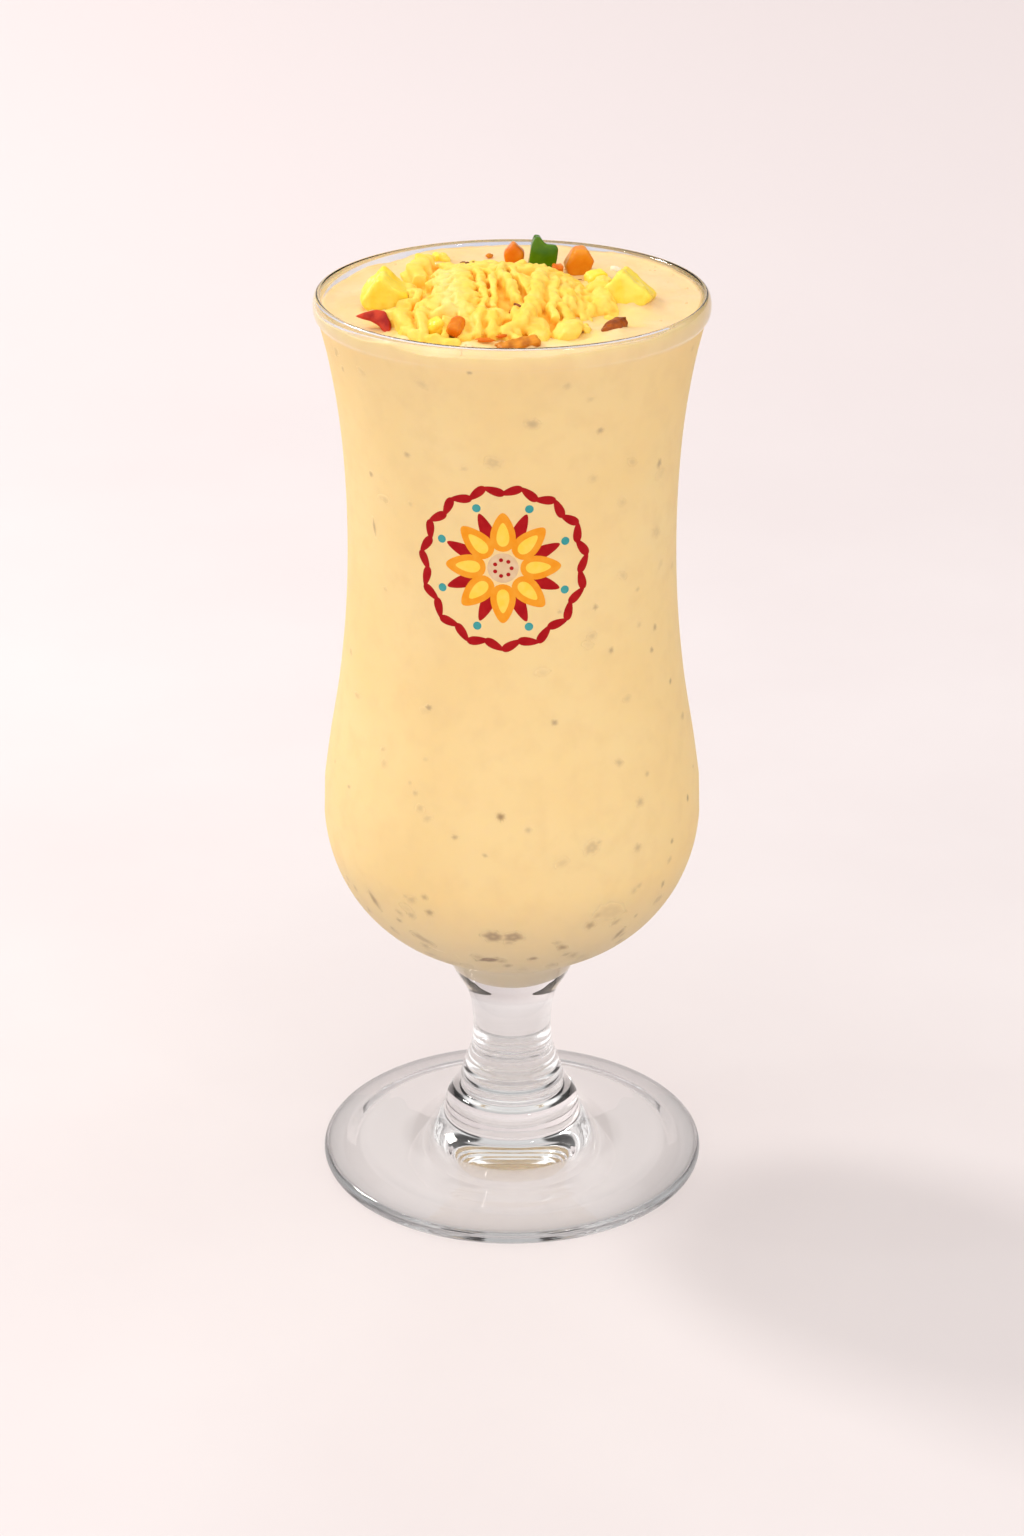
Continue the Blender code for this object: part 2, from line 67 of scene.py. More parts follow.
# The glass
GLASS_HEIGHT = 0.1972
RIM_RADIUS = 0.04
BEAD_HALF_WIDTH = 0.00105
BEAD_HALF_HEIGHT = 0.0024
BEAD_FOOT = GLASS_HEIGHT - 2 * BEAD_HALF_HEIGHT
BEAD_ARC = (180, -50, 32)  # degrees where its rounding begins and ends, and its steps
WALL = 0.002
BELLY_RADIUS = 0.04
BELLY_HEIGHT = 0.086
BOWL_SHRINK = 0.0042  # the bowl's bottom is flatter than a ball: how much, and how late this begins
BOWL_POWER = 3.4
BASE_THICKNESS = 0.0034
WELL_RADIUS = 0.015  # the bowl's bottom has a round well that dips into the neck
WELL_DEPTH = 0.0078
WELL_POWER = 0.8
FOOT_RADIUS = 0.0418
FOOT_EDGE = 0.0017
EDGE_ARC = (82, -90, 20)
RING_INNER = 0.0362  # the foot rests on a ring that reaches in to this radius
GLASS_SEGMENTS = 192
OUTLINE_STEPS = 7  # steps of the curve between two points of an outline
INNER_ANGLES = ((88.5, 56.0, 36), (54.0, 7.0, 24))  # of the bowl's inside: from, to, number of points
OUTER_ANGLES = (3.0, 65.0, 32)
GLASS_IOR = 1.5
GLASS_TINT = (0.985, 0.993, 0.99)
STEM_GREY = 0.31  # how much of the painted grey shade the stem, the foot and its edge show, for the dark room seen in the thick glass
FOOT_GREY = 0.075
EDGE_GREY = 0.95
STEM_REACH = 0.017  # the stem's grey ends at this radius
STEM_TOP = BELLY_HEIGHT - BELLY_RADIUS + 0.006
EDGE_FROM = 0.0392  # the edge's grey begins at this radius,
EDGE_FADE = 0.0018  # is full this far on
EDGE_TOP = 0.006  # and ends at this height
RIM_FADE = 0.0012  # the rim's painted reflection is full this far above the bead's foot
PAINTED_GLASS_SHADE = (0.42, 0.435, 0.445)  # painted grey shade for the dark room seen in the stem and the edge of the foot
PAINTED_RIM_REFLECTION = (0.64, 0.73, 0.88)  # painted blue-grey reflection of the dark room, on the bead of the rim at the sides and the back
FILLED_FROM = 0.054  # from here up the drink lies right behind the glass
STILLNESS = 0.86  # how much less the glass mirrors there
LIGHT_THROUGH_GLASS = (0.955, 0.955, 0.955)

# Outlines in millimetres: radius and height
WALL_OUTLINE = metres((
    (39.1, 192.9), (37.2, 184.8), (35.3, 173.0), (34.2, 160.0), (33.9, 145.0), (34.5, 130.0), (36.1, 114.8),
    (38.4, 101.0), (39.7, 92.0),
))
STEM_OUTLINE = metres((
    (14.7, 50.0), (13.1, 47.0), (12.1, 45.0), (10.3, 41.9), (9.1, 38.2), (8.6, 34.4), (8.5, 31.2),
    (8.9, 27.0), (10.5, 22.2), (11.3, 19.0), (11.3, 17.0), (13.1, 16.1), (14.4, 14.0), (14.9, 11.5),
    (15.4, 10.0), (18.5, 7.8), (24.0, 6.0), (32.0, 4.5),
))
UNDERSIDE = metres(((34.6, 1.0), (20.0, 1.9), (0.0, 2.4)))
STEM_RIPPLE = 0.00012  # height of the fine rings pressed into the lower stem
STEM_RIPPLE_LENGTH = 0.0021
STEM_RIPPLES = (0.0165, 0.0262)  # where they begin and end

# The drink
LEVEL = 0.1952
INTO_WALL = 0.0002  # how far the drink reaches into the glass
BRIM = RIM_RADIUS - 2 * BEAD_HALF_WIDTH + INTO_WALL
BRIM_DROP = 0.0003  # the surface is rounded off this far below its level,
SIDE_DROP = 0.0006  # and the wall's own points end this far below it
TOP_DEPTH = 0.0016  # how deep the unevenness of the surface reaches
DRINK_SEGMENTS = 224
TOP_RINGS = 56
TILT = (0.018, 0.012)  # the surface is higher to the right and at the back
SWELL = 0.0008  # how far the surface swells
SWELLS = ((1.0, 95), (0.2, 600))  # shares of this, and their waves per metre
HEAP_BANK = 0.0006  # how far the drink climbs at the heap
HEAP_BANK_WIDTH = 0.0016
LUMPY = (0.8, 7.0, 500)  # how uneven its banks and froth are: share, a layer of its own, waves per metre
MELT_WIDTH = 0.0045  # the drink is yellow this far round the heap
MELT_UNEVEN = (0.75, 0.5, 3.0, 220)  # mean share, unevenness, a layer of its own, waves per metre
BANK = 0.0008  # how far the drink climbs at the pieces that lie in it
BANK_WIDTH = 0.0016
BANKS = metres((  # those pieces: place and radius
    (-25.6, -4.0, 4.4), (22.9, -3.0, 4.8), (-14.8, 25.5, 2.4), (17.2, 10.2, 2.4), (0.4, 17.8, 2.8),
    (5.9, 16.0, 2.6), (13.6, 16.6, 3.2), (-25.2, -18.8, 3.0), (20.0, -21.8, 2.6), (1.4, -33.0, 2.6),
    (21.2, 19.0, 1.0),
))
FROTH = metres((  # low mounds of pale froth before the heap: place, radius and height
    (-16.5, -30.0, 3.0, 0.9), (-13.0, -31.5, 3.4, 0.8), (-8.5, -32.2, 2.6, 0.7), (-21.0, -27.5, 3.0, 0.6),
    (-5.2, -33.5, 2.0, 0.6), (9.0, -32.5, 3.0, 0.5), (18.0, -27.8, 3.0, 0.4),
))
BUBBLES = 39
BUBBLE_SIZES = (0.000144, 0.000408)
BUBBLE_SINK = 0.25  # how deep they lie, as a share of their size
BUBBLE_RISE = 0.8  # their height, as a share of their width
BUBBLE_FORM = (0.04, 12)  # how rough they are, and their sides
BUBBLE_CLEAR = 0.0008  # least distance from the heap
BUBBLE_GAP = 0.0012  # least distance from the wall
BUBBLE_BAND = 0.016  # width of the band along the wall that has bubbles
BUBBLE_TURN = (0.25, 1.4)  # the middle and the spread of their angles, in radians from the right
MENISCUS = 0.0005  # how far the drink climbs at the wall
MENISCUS_WIDTH = 0.0011

# The heap of scraped ice cream
MOUND_SHARE = 0.3  # how many of the loose scraps lie on the mounds
HEAP_CENTRE = (-0.0026, -0.0045)
HEAP_HALF_WIDTH = 0.02
HEAP_HALF_DEPTH = 0.0252
HEAP_HEIGHT = 0.006
HEAP_SINK = 0.0026  # how far its core reaches down into the drink
HEAP_POWER = 0.6
DIP_CENTRE = (0.0005, -0.015)
DIP_RADIUS = 0.0042
DIP_DEPTH = 0.0022
MOUND_POWER = 0.5
MOUNDS = metres((  # lower mounds beside the dome: centre, half width, half depth, height
    (-16.5, -19.5, 6.2, 9.2, 2.6), (-17.2, 11.0, 5.2, 9.8, 3.0), (17.0, -3.0, 4.2, 10.0, 2.6),
    (-6.0, -26.2, 8.5, 4.6, 1.6), (8.5, -26.2, 8.0, 5.0, 1.6),
))
HEAP_VOXEL = 0.0003
CORE_DROP = 0.0019  # the core lies this far under the dome, and shows in the creases
FLAKE_DROP = 0.001  # a flake's foot lies this far under the dome
CREASES = (  # of the torn skin: waves per metre along each axis, and depth
    ((560.0, 210.0, 440.0), 0.00026),
    ((1250.0, 560.0, 1000.0), 0.00016),
)
CREASE_LIMITS = (0.22, -0.3)  # how far the ripples that cut the creases stand out and dip
WARPS = (  # what bends the flakes: waves per metre, and how far
    (200.0, 0.0008),
    (560.0, 0.00036),
    (1300.0, 0.0001),
)
WARP_UPWARD = 0.4  # how much less they are bent upwards than sideways
NOISE_STEPS = (7.3, 3.1, 5.7)  # from one seed's ripples to the next
HOLLOW_ROUNDS = 24  # how far round a point its hollow is judged
HOLLOW_DEPTH = 0.0009
SKIRT = 0.0016  # how far a flake reaches down into the core
FLAKE_STEP = 0.0008  # between two sections of a flake
FLAKE_LEAN = 0.2  # how far its crest leans over at most, as a share of its width
FLAKE_ENDS = (0.12, 0.78, 0.4)  # the part of a half wave that its ends follow, and how blunt they are
FLAKE_WIDTH = 0.92  # its mean width, as a share of the width given
TORN_WIDTH = (0.45, 0.55, 5.0)  # how uneven it is: share, waves a section, and a layer of its own
TORN_HEIGHT = (0.4, 0.4, 0.0)
TORN_PLACE = (0.25, 0.22, 9.0)
TORN_OUTLINE = (0.16, 0.8, 2.0)
CORE_INSET = 0.985
CORE_ROWS = 16
CORE_COLUMNS = 48
BALL_ROWS = 6

# A flake's section: across, as a share of its width, and up, as a share of its height
FLAKE_SECTION = (
    (0.5, 0.0), (0.49, 0.55), (0.4, 0.9), (0.14, 1.0), (-0.16, 0.96), (-0.4, 0.8), (-0.49, 0.4),
    (-0.5, 0.0),
)

# The flakes that stand out: the way each runs down the heap, its width, its height and its lift
FLAKES = metres((
    (((-17.2, 20.5), (-18.2, 15.0), (-18.8, 9.0), (-18.8, 4.0)), 4.4, 3.2, 0.8),
    (((-20.0, 8.5), (-20.4, 5.0)), 3.4, 2.4, 0.4),
    (((-21.2, 4.0), (-20.6, -1.0), (-19.6, -6.0)), 3.0, 2.2, 0.3),
    (((-20.5, -7.5), (-22.0, -11.0), (-22.6, -14.0)), 3.6, 2.4, 0.4),
    (((-12.8, 21.5), (-13.2, 16.0), (-13.0, 10.0)), 4.2, 2.4, 0.4),
    (((-14.5, 15.0), (-13.5, 7.0), (-13.2, -2.0), (-12.6, -12.0),
      (-11.8, -20.0), (-11.0, -25.0)), 4.0, 1.6, -0.1),
    (((-19.0, -3.5), (-18.8, -8.5)), 2.2, 1.8, 0.1),
    (((-18.6, -11.5), (-18.2, -15.5)), 2.4, 1.8, 0.1),
    (((-21.6, -12.0), (-21.2, -18.0), (-20.4, -24.5)), 4.6, 3.0, 0.4),
    (((-17.4, -17.0), (-17.0, -22.0), (-16.8, -27.5)), 3.0, 2.6, 0.3),
    (((-17.2, -19.2), (-14.0, -19.8), (-10.4, -20.6)), 3.4, 2.6, 0.4),
    (((-12.8, -21.6), (-12.8, -25.0), (-12.8, -29.0)), 2.0, 1.8, 0.4),
    (((-17.5, -27.8), (-14.0, -29.6), (-9.6, -30.6)), 2.6, 2.2, 0.4),
    (((-21.4, -24.0), (-19.6, -27.0), (-17.0, -29.2)), 3.0, 2.2, 0.3),
    (((-10.6, 6.0), (-9.8, -3.0), (-9.5, -13.0), (-9.0, -20.5),
      (-9.0, -25.5), (-9.2, -29.2)), 5.0, 1.8, 0.1),
    (((-7.2, 9.0), (-6.4, -1.0), (-5.7, -9.5), (-5.2, -16.5)), 2.1, 1.5, 0.0),
    (((-4.6, 10.0), (-3.8, 0.0), (-3.5, -9.5), (-3.6, -17.5)), 1.6, 1.4, 0.0),
    (((-2.4, 10.0), (-1.3, -4.0), (0.6, -11.5), (2.6, -15.0)), 1.9, 1.8, 0.2),
    (((0.0, 7.5), (1.2, -2.0), (2.4, -8.0), (3.6, -13.0)), 1.8, 1.6, 0.1),
    (((6.8, 6.0), (6.0, -4.0), (5.2, -11.0), (4.1, -18.5), (1.8, -25.0),
      (-2.2, -28.4)), 3.8, 2.1, 0.4),
    (((-5.6, -19.6), (-6.2, -24.0), (-6.6, -28.6)), 2.0, 2.1, 0.3),
    (((-4.0, -22.2), (-3.6, -26.2), (-3.8, -29.2)), 2.8, 2.1, 0.3),
    (((0.8, -17.2), (0.6, -21.2), (0.3, -24.0)), 1.9, 1.7, 0.2),
    (((-2.2, -20.0), (-1.2, -23.5)), 2.0, 1.4, 0.0),
    (((5.2, -22.5), (5.6, -27.0), (5.8, -31.2)), 4.0, 1.8, 0.1),
    (((10.4, -21.2), (10.6, -24.4), (10.4, -28.4)), 5.6, 2.3, 0.4),
    (((15.0, -17.0), (14.9, -21.5), (14.6, -25.5)), 1.9, 1.8, 0.4),
    (((17.8, 4.0), (18.4, -5.0), (17.8, -12.0)), 4.6, 2.4, 0.3),
    (((16.0, 8.5), (17.8, 4.0), (19.0, 0.0)), 3.6, 2.6, 0.3),
    (((19.2, -6.0), (19.6, -10.5), (18.6, -15.0)), 3.2, 1.8, 0.2),
    (((-0.2, -28.5), (1.2, -30.5), (3.4, -31.2)), 2.2, 2.0, 0.6),
    (((-8.0, 24.5), (-6.0, 20.0), (-5.0, 15.0)), 4.6, 1.6, 0.0),
))

# The row of narrow ribs at the right of the heap: its way down, each rib's width and height
RIBS = metres((
    (((8.4, 8.5), (8.2, -2.0), (8.0, -13.0), (8.0, -21.5)), 2.5, 1.8),
    (((10.3, 7.2), (10.2, -3.0), (10.4, -12.0), (10.7, -20.5)), 2.0, 1.6),
    (((11.9, 6.6), (11.8, -3.0), (12.0, -11.0), (12.5, -19.0)), 1.9, 1.8),
    (((13.5, 5.4), (13.4, -4.0), (13.6, -11.0), (14.1, -17.5)), 1.8, 1.6),
    (((15.1, 3.8), (15.0, -5.0), (15.0, -13.0), (15.0, -20.0)), 2.0, 1.8),
    (((16.7, 2.0), (16.7, -6.0), (16.6, -15.0)), 2.0, 1.6),
))

# The back of the heap, where flakes run down away from the ridge
BACK_FLAKES = 13
BACK_WIDTHS = (0.00238, 0.00408)
BACK_HEIGHTS = (0.00112, 0.00176)
BACK_TURN = 78  # degrees from straight back to the outermost ones
BACK_START = 0.004  # they start at this place along Y
BACK_STEPS = (0.1, 0.4, 0.7)  # of their way out, as shares of it
BACK_ENDS = (0.9, 0.97)
BACK_STRAY = (5, 0.08)  # how far they stray, in degrees, and how far each step does, in radians
RIDGE = 0.003  # loose scraps run forwards before this place along Y, and backwards behind it

# The chips that lie over the flakes
CHIPS = 34
CHIP_LENGTHS = (0.00372, 0.00868)
CHIP_WIDTHS = (0.00168, 0.00392)
CHIP_HEIGHTS = (0.00104, 0.00156)
CHIP_LIFTS = (0.0, 0.0005)
CHIP_REACH = 0.92  # they begin within this share of the dome
CHIP_FAN = (0.5, 0.4)  # how far they fan out at the sides, and stray, in radians
CHIP_BEND = 0.0006
CHIP_DIP = 1.1  # they keep this far clear of the dip, as a share of it,
CHIP_EDGE = 0.0008  # and this far inside the heap's edge

# The finer scraps in the creases
FINE_FLAKES = 26
FINE_LENGTHS = (0.0025, 0.0065)
FINE_WIDTHS = (0.00096, 0.00224)
FINE_HEIGHTS = (0.0006, 0.0012)
FINE_LIFTS = (-0.0001, 0.0003)
FINE_REACH = 0.98
FINE_FAN = (0.7, 0.45)
FINE_BEND = 0.0004
FINE_EDGE = 0.0012

# The lumps at the left and along the edge
LUMPS = 26
LUMP_SIZES = (0.0004, 0.00104)
LUMP_SINK = 0.2  # how deep they lie, as a share of their size
LUMP_LENGTHS = (0.8, 1.6)
LUMP_RISE = 0.9
LUMP_REACH = 0.97
LUMPS_LEFT = -0.01  # they lie left of this place along X,
LUMPS_EDGE = 0.003  # or this close to the edge

# The band of cream
CREAM_ROUTE = metres(((-13.5, 6.0), (-13.2, -3.0), (-12.6, -12.0), (-11.5, -21.0)))
CREAM_WIDTH = 0.0024

# Scraps: place, lift over the dome, length, width and height in millimetres, and turn in degrees
DARK_SCRAPS = (
    (-9.8, 11.0, 0.6, 1.7, 1.0, 0.9, 20.0), (-9.0, 8.5, 0.7, 1.2, 0.8, 0.8, -50.0),
    (-7.8, 9.2, 0.7, 0.6, 0.5, 0.5, 0.0), (13.7, 12.0, 0.6, 1.6, 1.0, 0.8, 15.0),
    (20.0, 7.5, 0.5, 0.8, 0.6, 0.5, 40.0),
)
BROWN_SCRAPS = (
    (-4.7, 31.0, 0.6, 1.7, 1.0, 1.0, 35.0), (0.0, -18.0, -0.6, 1.4, 1.1, 1.0, 30.0),
    (-1.6, -32.2, 0.6, 3.4, 1.6, 1.2, 12.0),
)
ORANGE_SCRAPS = (
    (-5.2, -30.3, 0.3, 3.6, 1.2, 0.9, -8.0), (-2.0, -29.6, 0.8, 2.2, 0.9, 0.8, 15.0),
)
SCRAP_FORM = (0.22, 10)  # how rough they are, and their sides

# The seeds seen through the wall: angle, height, half width and half height in millimetres, slant,
# greyness, and depth of colour
SEEDS = (
    (-3.5, 98.5, 0.7, 0.75, 0.0, 0.2, 0.6), (-29.1, 119.3, 0.6, 0.5, 0.3, 0.8, 0.45),
    (14.3, 117.5, 0.55, 0.55, 0.0, 0.8, 0.45), (-17.6, 93.5, 0.6, 0.45, 0.0, 0.7, 0.4),
    (43.5, 97.2, 0.8, 0.8, 0.0, 1.0, 0.3), (24.8, 90.5, 1.2, 1.0, 0.4, 1.0, 0.32),
    (-50.8, 73.6, 0.65, 1.5, 0.5, 0.8, 0.5), (-27.9, 78.9, 0.55, 0.55, 0.0, 0.7, 0.35),
    (-27.0, 75.3, 0.8, 0.6, 0.2, 0.6, 0.45), (-34.0, 67.0, 1.8, 0.6, -0.5, 0.9, 0.45),
    (-41.0, 70.5, 0.6, 0.45, 0.0, 0.7, 0.35), (-6.2, 70.9, 1.7, 1.1, 0.0, 0.9, 0.75),
    (0.4, 70.9, 1.6, 1.1, 0.1, 0.9, 0.7), (-9.4, 63.4, 2.0, 0.65, 0.1, 1.0, 0.95),
    (-1.8, 61.2, 0.6, 0.5, 0.4, 0.9, 0.4), (8.2, 63.9, 0.75, 0.55, 0.0, 0.6, 0.55),
    (18.3, 66.7, 0.85, 0.6, -0.3, 0.6, 0.5), (26.3, 72.0, 0.85, 0.75, -0.4, 0.6, 0.42),
    (42.0, 66.6, 0.65, 1.2, -0.4, 0.8, 0.5), (33.0, 74.5, 2.6, 1.4, -0.3, 1.0, 0.18),
    (69.6, 91.8, 0.45, 0.6, 0.0, 0.7, 0.5), (58.2, 85.2, 0.5, 0.5, 0.0, 0.7, 0.4),
    (56.0, 76.0, 0.45, 0.7, 0.3, 0.7, 0.4), (36.5, 130.5, 0.5, 0.5, 0.0, 0.7, 0.4),
    (68.4, 117.9, 0.5, 0.5, 0.0, 0.7, 0.4), (6.4, 181.0, 1.1, 0.8, 0.0, 1.0, 0.35),
    (29.4, 178.2, 0.6, 0.5, 0.0, 0.9, 0.4), (59.6, 166.9, 0.6, 0.8, 0.2, 0.9, 0.45),
    (-36.9, 172.2, 0.6, 0.5, 0.0, 0.9, 0.35), (-56.0, 165.2, 0.6, 0.5, 0.0, 0.8, 0.4),
    (-56.1, 153.9, 0.4, 1.4, 0.2, 0.8, 0.4), (-6.3, 172.7, 1.2, 0.9, 0.0, 1.0, 0.25),
    (30.3, 140.4, 0.5, 0.5, 0.0, 0.7, 0.4), (59.7, 131.6, 0.5, 0.6, 0.0, 0.8, 0.4),
    (56.9, 127.2, 0.5, 0.5, 0.0, 0.8, 0.4), (-12.4, 192.0, 0.5, 0.4, 0.0, 0.9, 0.4),
)
MORE_SEEDS = 230  # small faint ones all round, denser towards the bottom of the bowl
SEEDS_FROM = 0.059  # their lowest height, the span above it, and how they crowd downwards
SEEDS_SPAN = 0.131
SEEDS_CROWD = 2.2
SEED_SIZES = (0.00045, 0.0011)
SEED_WIDER = (1.0, 1.8)
SEED_FAINT = (0.15, 0.48)
SEED_SLANT = 0.6
SEED_GREYNESS = (0.6, 1.0)
FAINTER_ABOVE = (0.6, 0.3)  # how much fainter they are at the top, and how soon
LARGEST_CLEAR = 0.001  # larger ones than this are fainter
FAINTER_BELOW = (0.35, 0.008)  # how faint they are at their lowest, and how far up that ends
SEED_STEPS = (6, 20)  # rings and columns of a seed's face
SEED_UNEVEN = 0.18
SEED_FADE = 1.5
SEED_CONTRAST = 1.3
SEED_SWELL = 0.00005  # how far its face stands out in the middle
SEED_EDGE = 0.000006
SEED_DEPTH = 0.0009
PALE_CENTRE_SIZE = 0.0018  # larger seeds than this are paler in their middle
PALE_CENTRE = (0.5, 0.25)  # how much, and how far out as a share of their size
SEED_GROWTH = 1.55  # a seed and the cloud round it are this much larger than its dark middle

# The printed flower on the front of the bowl: a wreath of leaves round two rows of petals
BADGE_ANGLE = -3.0
BADGE_HEIGHT = 0.1508
PRINT_LIFT = 0.00003
PRINT_THICKNESS = 0.00005
PRINT_STEP = 0.000012  # each ink lies this far over the one below
WREATH_LEAVES = 30
WREATH_RADIUS = 0.0163
LEAF_SIZE = (0.0022, 0.00088)
LEAF_TILT = 0.42  # radians, to one side and the other in turn
PETALS = 8
PETAL_SIZE = (0.0041, 0.0024)
PETAL_RADIUS = 0.0075
HEART_SIZE = (0.0025, 0.0012)
HEART_RADIUS = 0.007
BETWEEN_SIZE = (0.0034, 0.0013)
BETWEEN_RADIUS = 0.0088
DOT_RADIUS = 0.00085
DOT_RING = 0.0134
CENTRE_RADIUS = 0.0031
POINTS = 7
POINT_RADIUS = 0.00042
POINT_RING = 0.0017
FIELD_RINGS = 5  # rings of points between a field's middle and its edge
FIELD_MIDDLE = 0.02  # size of its innermost ring, as a share of its own
INKS = {  # each with its full and its worn tone
    "red": ((0.37, 0.002, 0.006), (0.44, 0.008, 0.01)),
    "orange": ((0.88, 0.3, 0.012), (0.9, 0.36, 0.03)),
    "yellow": ((0.93, 0.62, 0.06), (0.94, 0.66, 0.11)),
    "teal": ((0.04, 0.3, 0.3), (0.07, 0.35, 0.34)),
    "beige": ((0.72, 0.48, 0.27), (0.78, 0.56, 0.35)),
}

# The colours of the drink and of the ice cream
MILK = ((0.948, 0.672, 0.302), (0.968, 0.712, 0.348))
CURDS = (0.9, 0.64, 0.3)
CURD_SHARE = 0.55
LOW_MILK = (0.69, 0.575, 0.385)
LOW_HEIGHTS = (0.08, 0.056)  # where the milk begins to turn into that, and where it has turned
SKIN = ((0.89, 0.59, 0.28), (0.915, 0.625, 0.33))
PALE_FROTH = (0.98, 0.8, 0.52)
MELTED = (0.965, 0.69, 0.215)
SPECKS = ((0.23, 0.11, 0.035), (0.31, 0.208, 0.142))
ICE_CREAM = ((0.965, 0.63, 0.078), (0.975, 0.685, 0.135))
CREAM = (0.965, 0.69, 0.235)
CREAM_SHARE = 0.75
# painted shade: the deeper yellow put into the heap's hollows and creases, and where it begins and is full
PAINTED_HOLLOW_SHADE = (0.94, 0.44, 0.028)
HOLLOW_SHADE_EDGES = (0.46, 0.84)
GRAIN_DETAIL = 4.0  # the octaves of the fine relief in a surface
FRUIT_GRAIN = 4.0  # how much finer this is in fruit than its streaks

# The fruit and the nuts: a paler and a deeper tone, waves per metre, and what differs from the usual
FRUITS = {
    "mango": ((0.985, 0.785, 0.13), (0.975, 0.67, 0.034), 240.0, {"stretch": (1.0, 1.0, 0.35)}),
    "papaya": ((0.75, 0.225, 0.007), (0.68, 0.13, 0.001), 260.0, {}),
    "papaya_pale": ((0.78, 0.3, 0.014), (0.74, 0.205, 0.004), 240.0, {}),
    "green_candied_fruit": ((0.1, 0.22, 0.001), (0.045, 0.135, 0.0005), 200.0,
                            {"roughness": (0.12, 0.25), "glow": 0.05}),
    "cherry_peel": ((0.64, 0.055, 0.02), (0.36, 0.01, 0.005), 420.0,
                    {"roughness": (0.15, 0.3), "glow": 0.1}),
    "raisin": ((0.41, 0.088, 0.003), (0.15, 0.028, 0.001), 480.0, {"glow": 0.05}),
    "almond": ((0.77, 0.275, 0.016), (0.43, 0.112, 0.005), 420.0,
               {"stretch": (1.0, 0.4, 1.0), "roughness": (0.35, 0.55), "glow": 0.1}),
    "cashew": ((0.96, 0.86, 0.66), (0.9, 0.76, 0.5), 500.0,
               {"roughness": (0.35, 0.55), "glow": 0.2}),
}

# How a topping's skin swells: waves per metre and height of each kind of wave
CUT = ((330.0, 0.0004), (1100.0, 0.00012))
SMALL = ((600.0, 0.0003), (1600.0, 0.0001))
SMOOTH = ((260.0, 0.0003), (900.0, 0.00008))
WRINKLED = ((500.0, 0.0004), (1500.0, 0.0001))
BROAD = ((280.0, 0.0003),)
LONG = ((300.0, 0.0003),)

# The toppings: nodes, the end of each piece's name, slot, fruit, voxel, rounds of softening, waves
TOPPINGS = (
    (("mango_cube_left", "mango_cube_right"), "cut", "mango", "mango", 0.00022, 4, CUT),
    (("mango_bit_back", "mango_bit_right", "mango_bit_front"), "cut", "mango", "mango", 0.00018, 3, SMALL),
    (("papaya_left",), "cut", "papaya", "papaya", 0.00018, 4, SMOOTH),
    (("papaya_right",), "cut", "papaya", "papaya_pale", 0.00018, 10, SMOOTH),
    (("papaya_front", "papaya_bit"), "cut", "papaya", "papaya", 0.00018, 3, SMALL),
    (("green_candied_fruit",), "cut", "green_candied_fruit", "green_candied_fruit", 0.00018, 2, BROAD),
    (("cherry_peel",), "curled", "cherry_peel", "cherry_peel", 0.00014, 8, LONG),
    (("raisin_right", "raisin_middle"), "wrinkled", "raisin", "raisin", 0.00014, 4, WRINKLED),
    (("almond_front",), "sliver", "almond", "almond", 0.00014, 2, SMALL),
    (("cashew_crumb",), "chip", "cashew", "cashew", 0.00014, 2, SMALL),
)
TOPPING_ROUNDS = 16  # how far round a point its hollow is judged
TOPPING_DEPTH = 0.0008

# The light of the room
ROOM_COLOUR = (1.0, 0.975, 0.965)
BRIGHT_SIDE = (-0.14, -0.92, 0.35)
BRIGHT_LIGHT = 1.43
DIM_LIGHT = 0.55
HORIZON_LIGHT = 0.4  # the share of the light that the horizon gives
HORIZON_TOP = 0.22  # the height of the horizon's dark band, as a share of straight up
WALL_TOP = 0.3  # height of the low wall behind the glass
DARK_BACK = (0.4, 0.6)  # the room is dark above the wall: how far back this begins and is full,
DARK_TOP = (0.65, 0.8)  # how high up it begins to fade and has faded,
DARK_SIDE = (0.24, 0.3)  # and how far to each side it begins and is full, past a bright middle
DARK_LIGHT = 0.02

LIGHT_BOUNCES = 20  # enough for light to find its way through the thick stem

# The lights: name, place, target, side, power and colour
LIGHTS = (
    ("glint", (-0.7, 0.02, 0.92), (0.0, 0.0, 0.19), 0.035, 0.25, (1.0, 0.98, 0.96)),
    ("window", (-0.8, 0.5, 0.9), (0.0, 0.0, 0.05), 0.24, 6.6, (1.0, 0.965, 0.93)),
    ("lamp", (0.55, -0.75, 0.95), (0.0, 0.0, 0.1), 0.1, 0.45, (1.0, 0.97, 0.95)),
)

# The floor
FLOOR_GAP = 0.00012  # it lies this far under the foot, so that the two surfaces don't mingle
FLOOR_REACH = 6.0
FLOOR_TURN = 0.45  # it turns up into the wall behind this place along Y,
TURN_RADIUS = 0.4  # with this radius,
TURN_STEPS = (0.1, 16)  # from this angle on, in so many steps
STONE = ((0.725, 0.668, 0.67), (0.76, 0.709, 0.711))
FAR_STONE = (0.636, 0.574, 0.575)
FAR_PLACES = (0.2, 0.75)  # along Y, where the stone begins to darken and is darkest


# Meshes

def new_object(name, points, faces, finish):
    mesh = bpy.data.meshes.new(name)
    mesh.from_pydata([tuple(point) for point in points], [], faces)
    mesh.shade_smooth()
    mesh.materials.append(finish)
    obj = bpy.data.objects.new(name, mesh)
    bpy.context.scene.collection.objects.link(obj)
    return obj


def settle(obj):
    """Turn an object's modifiers into its mesh."""
    bpy.context.view_layer.update()
    graph = bpy.context.evaluated_depsgraph_get()
    mesh = bpy.data.meshes.new_from_object(obj.evaluated_get(graph))
    obj.modifiers.clear()
    obj.data = mesh


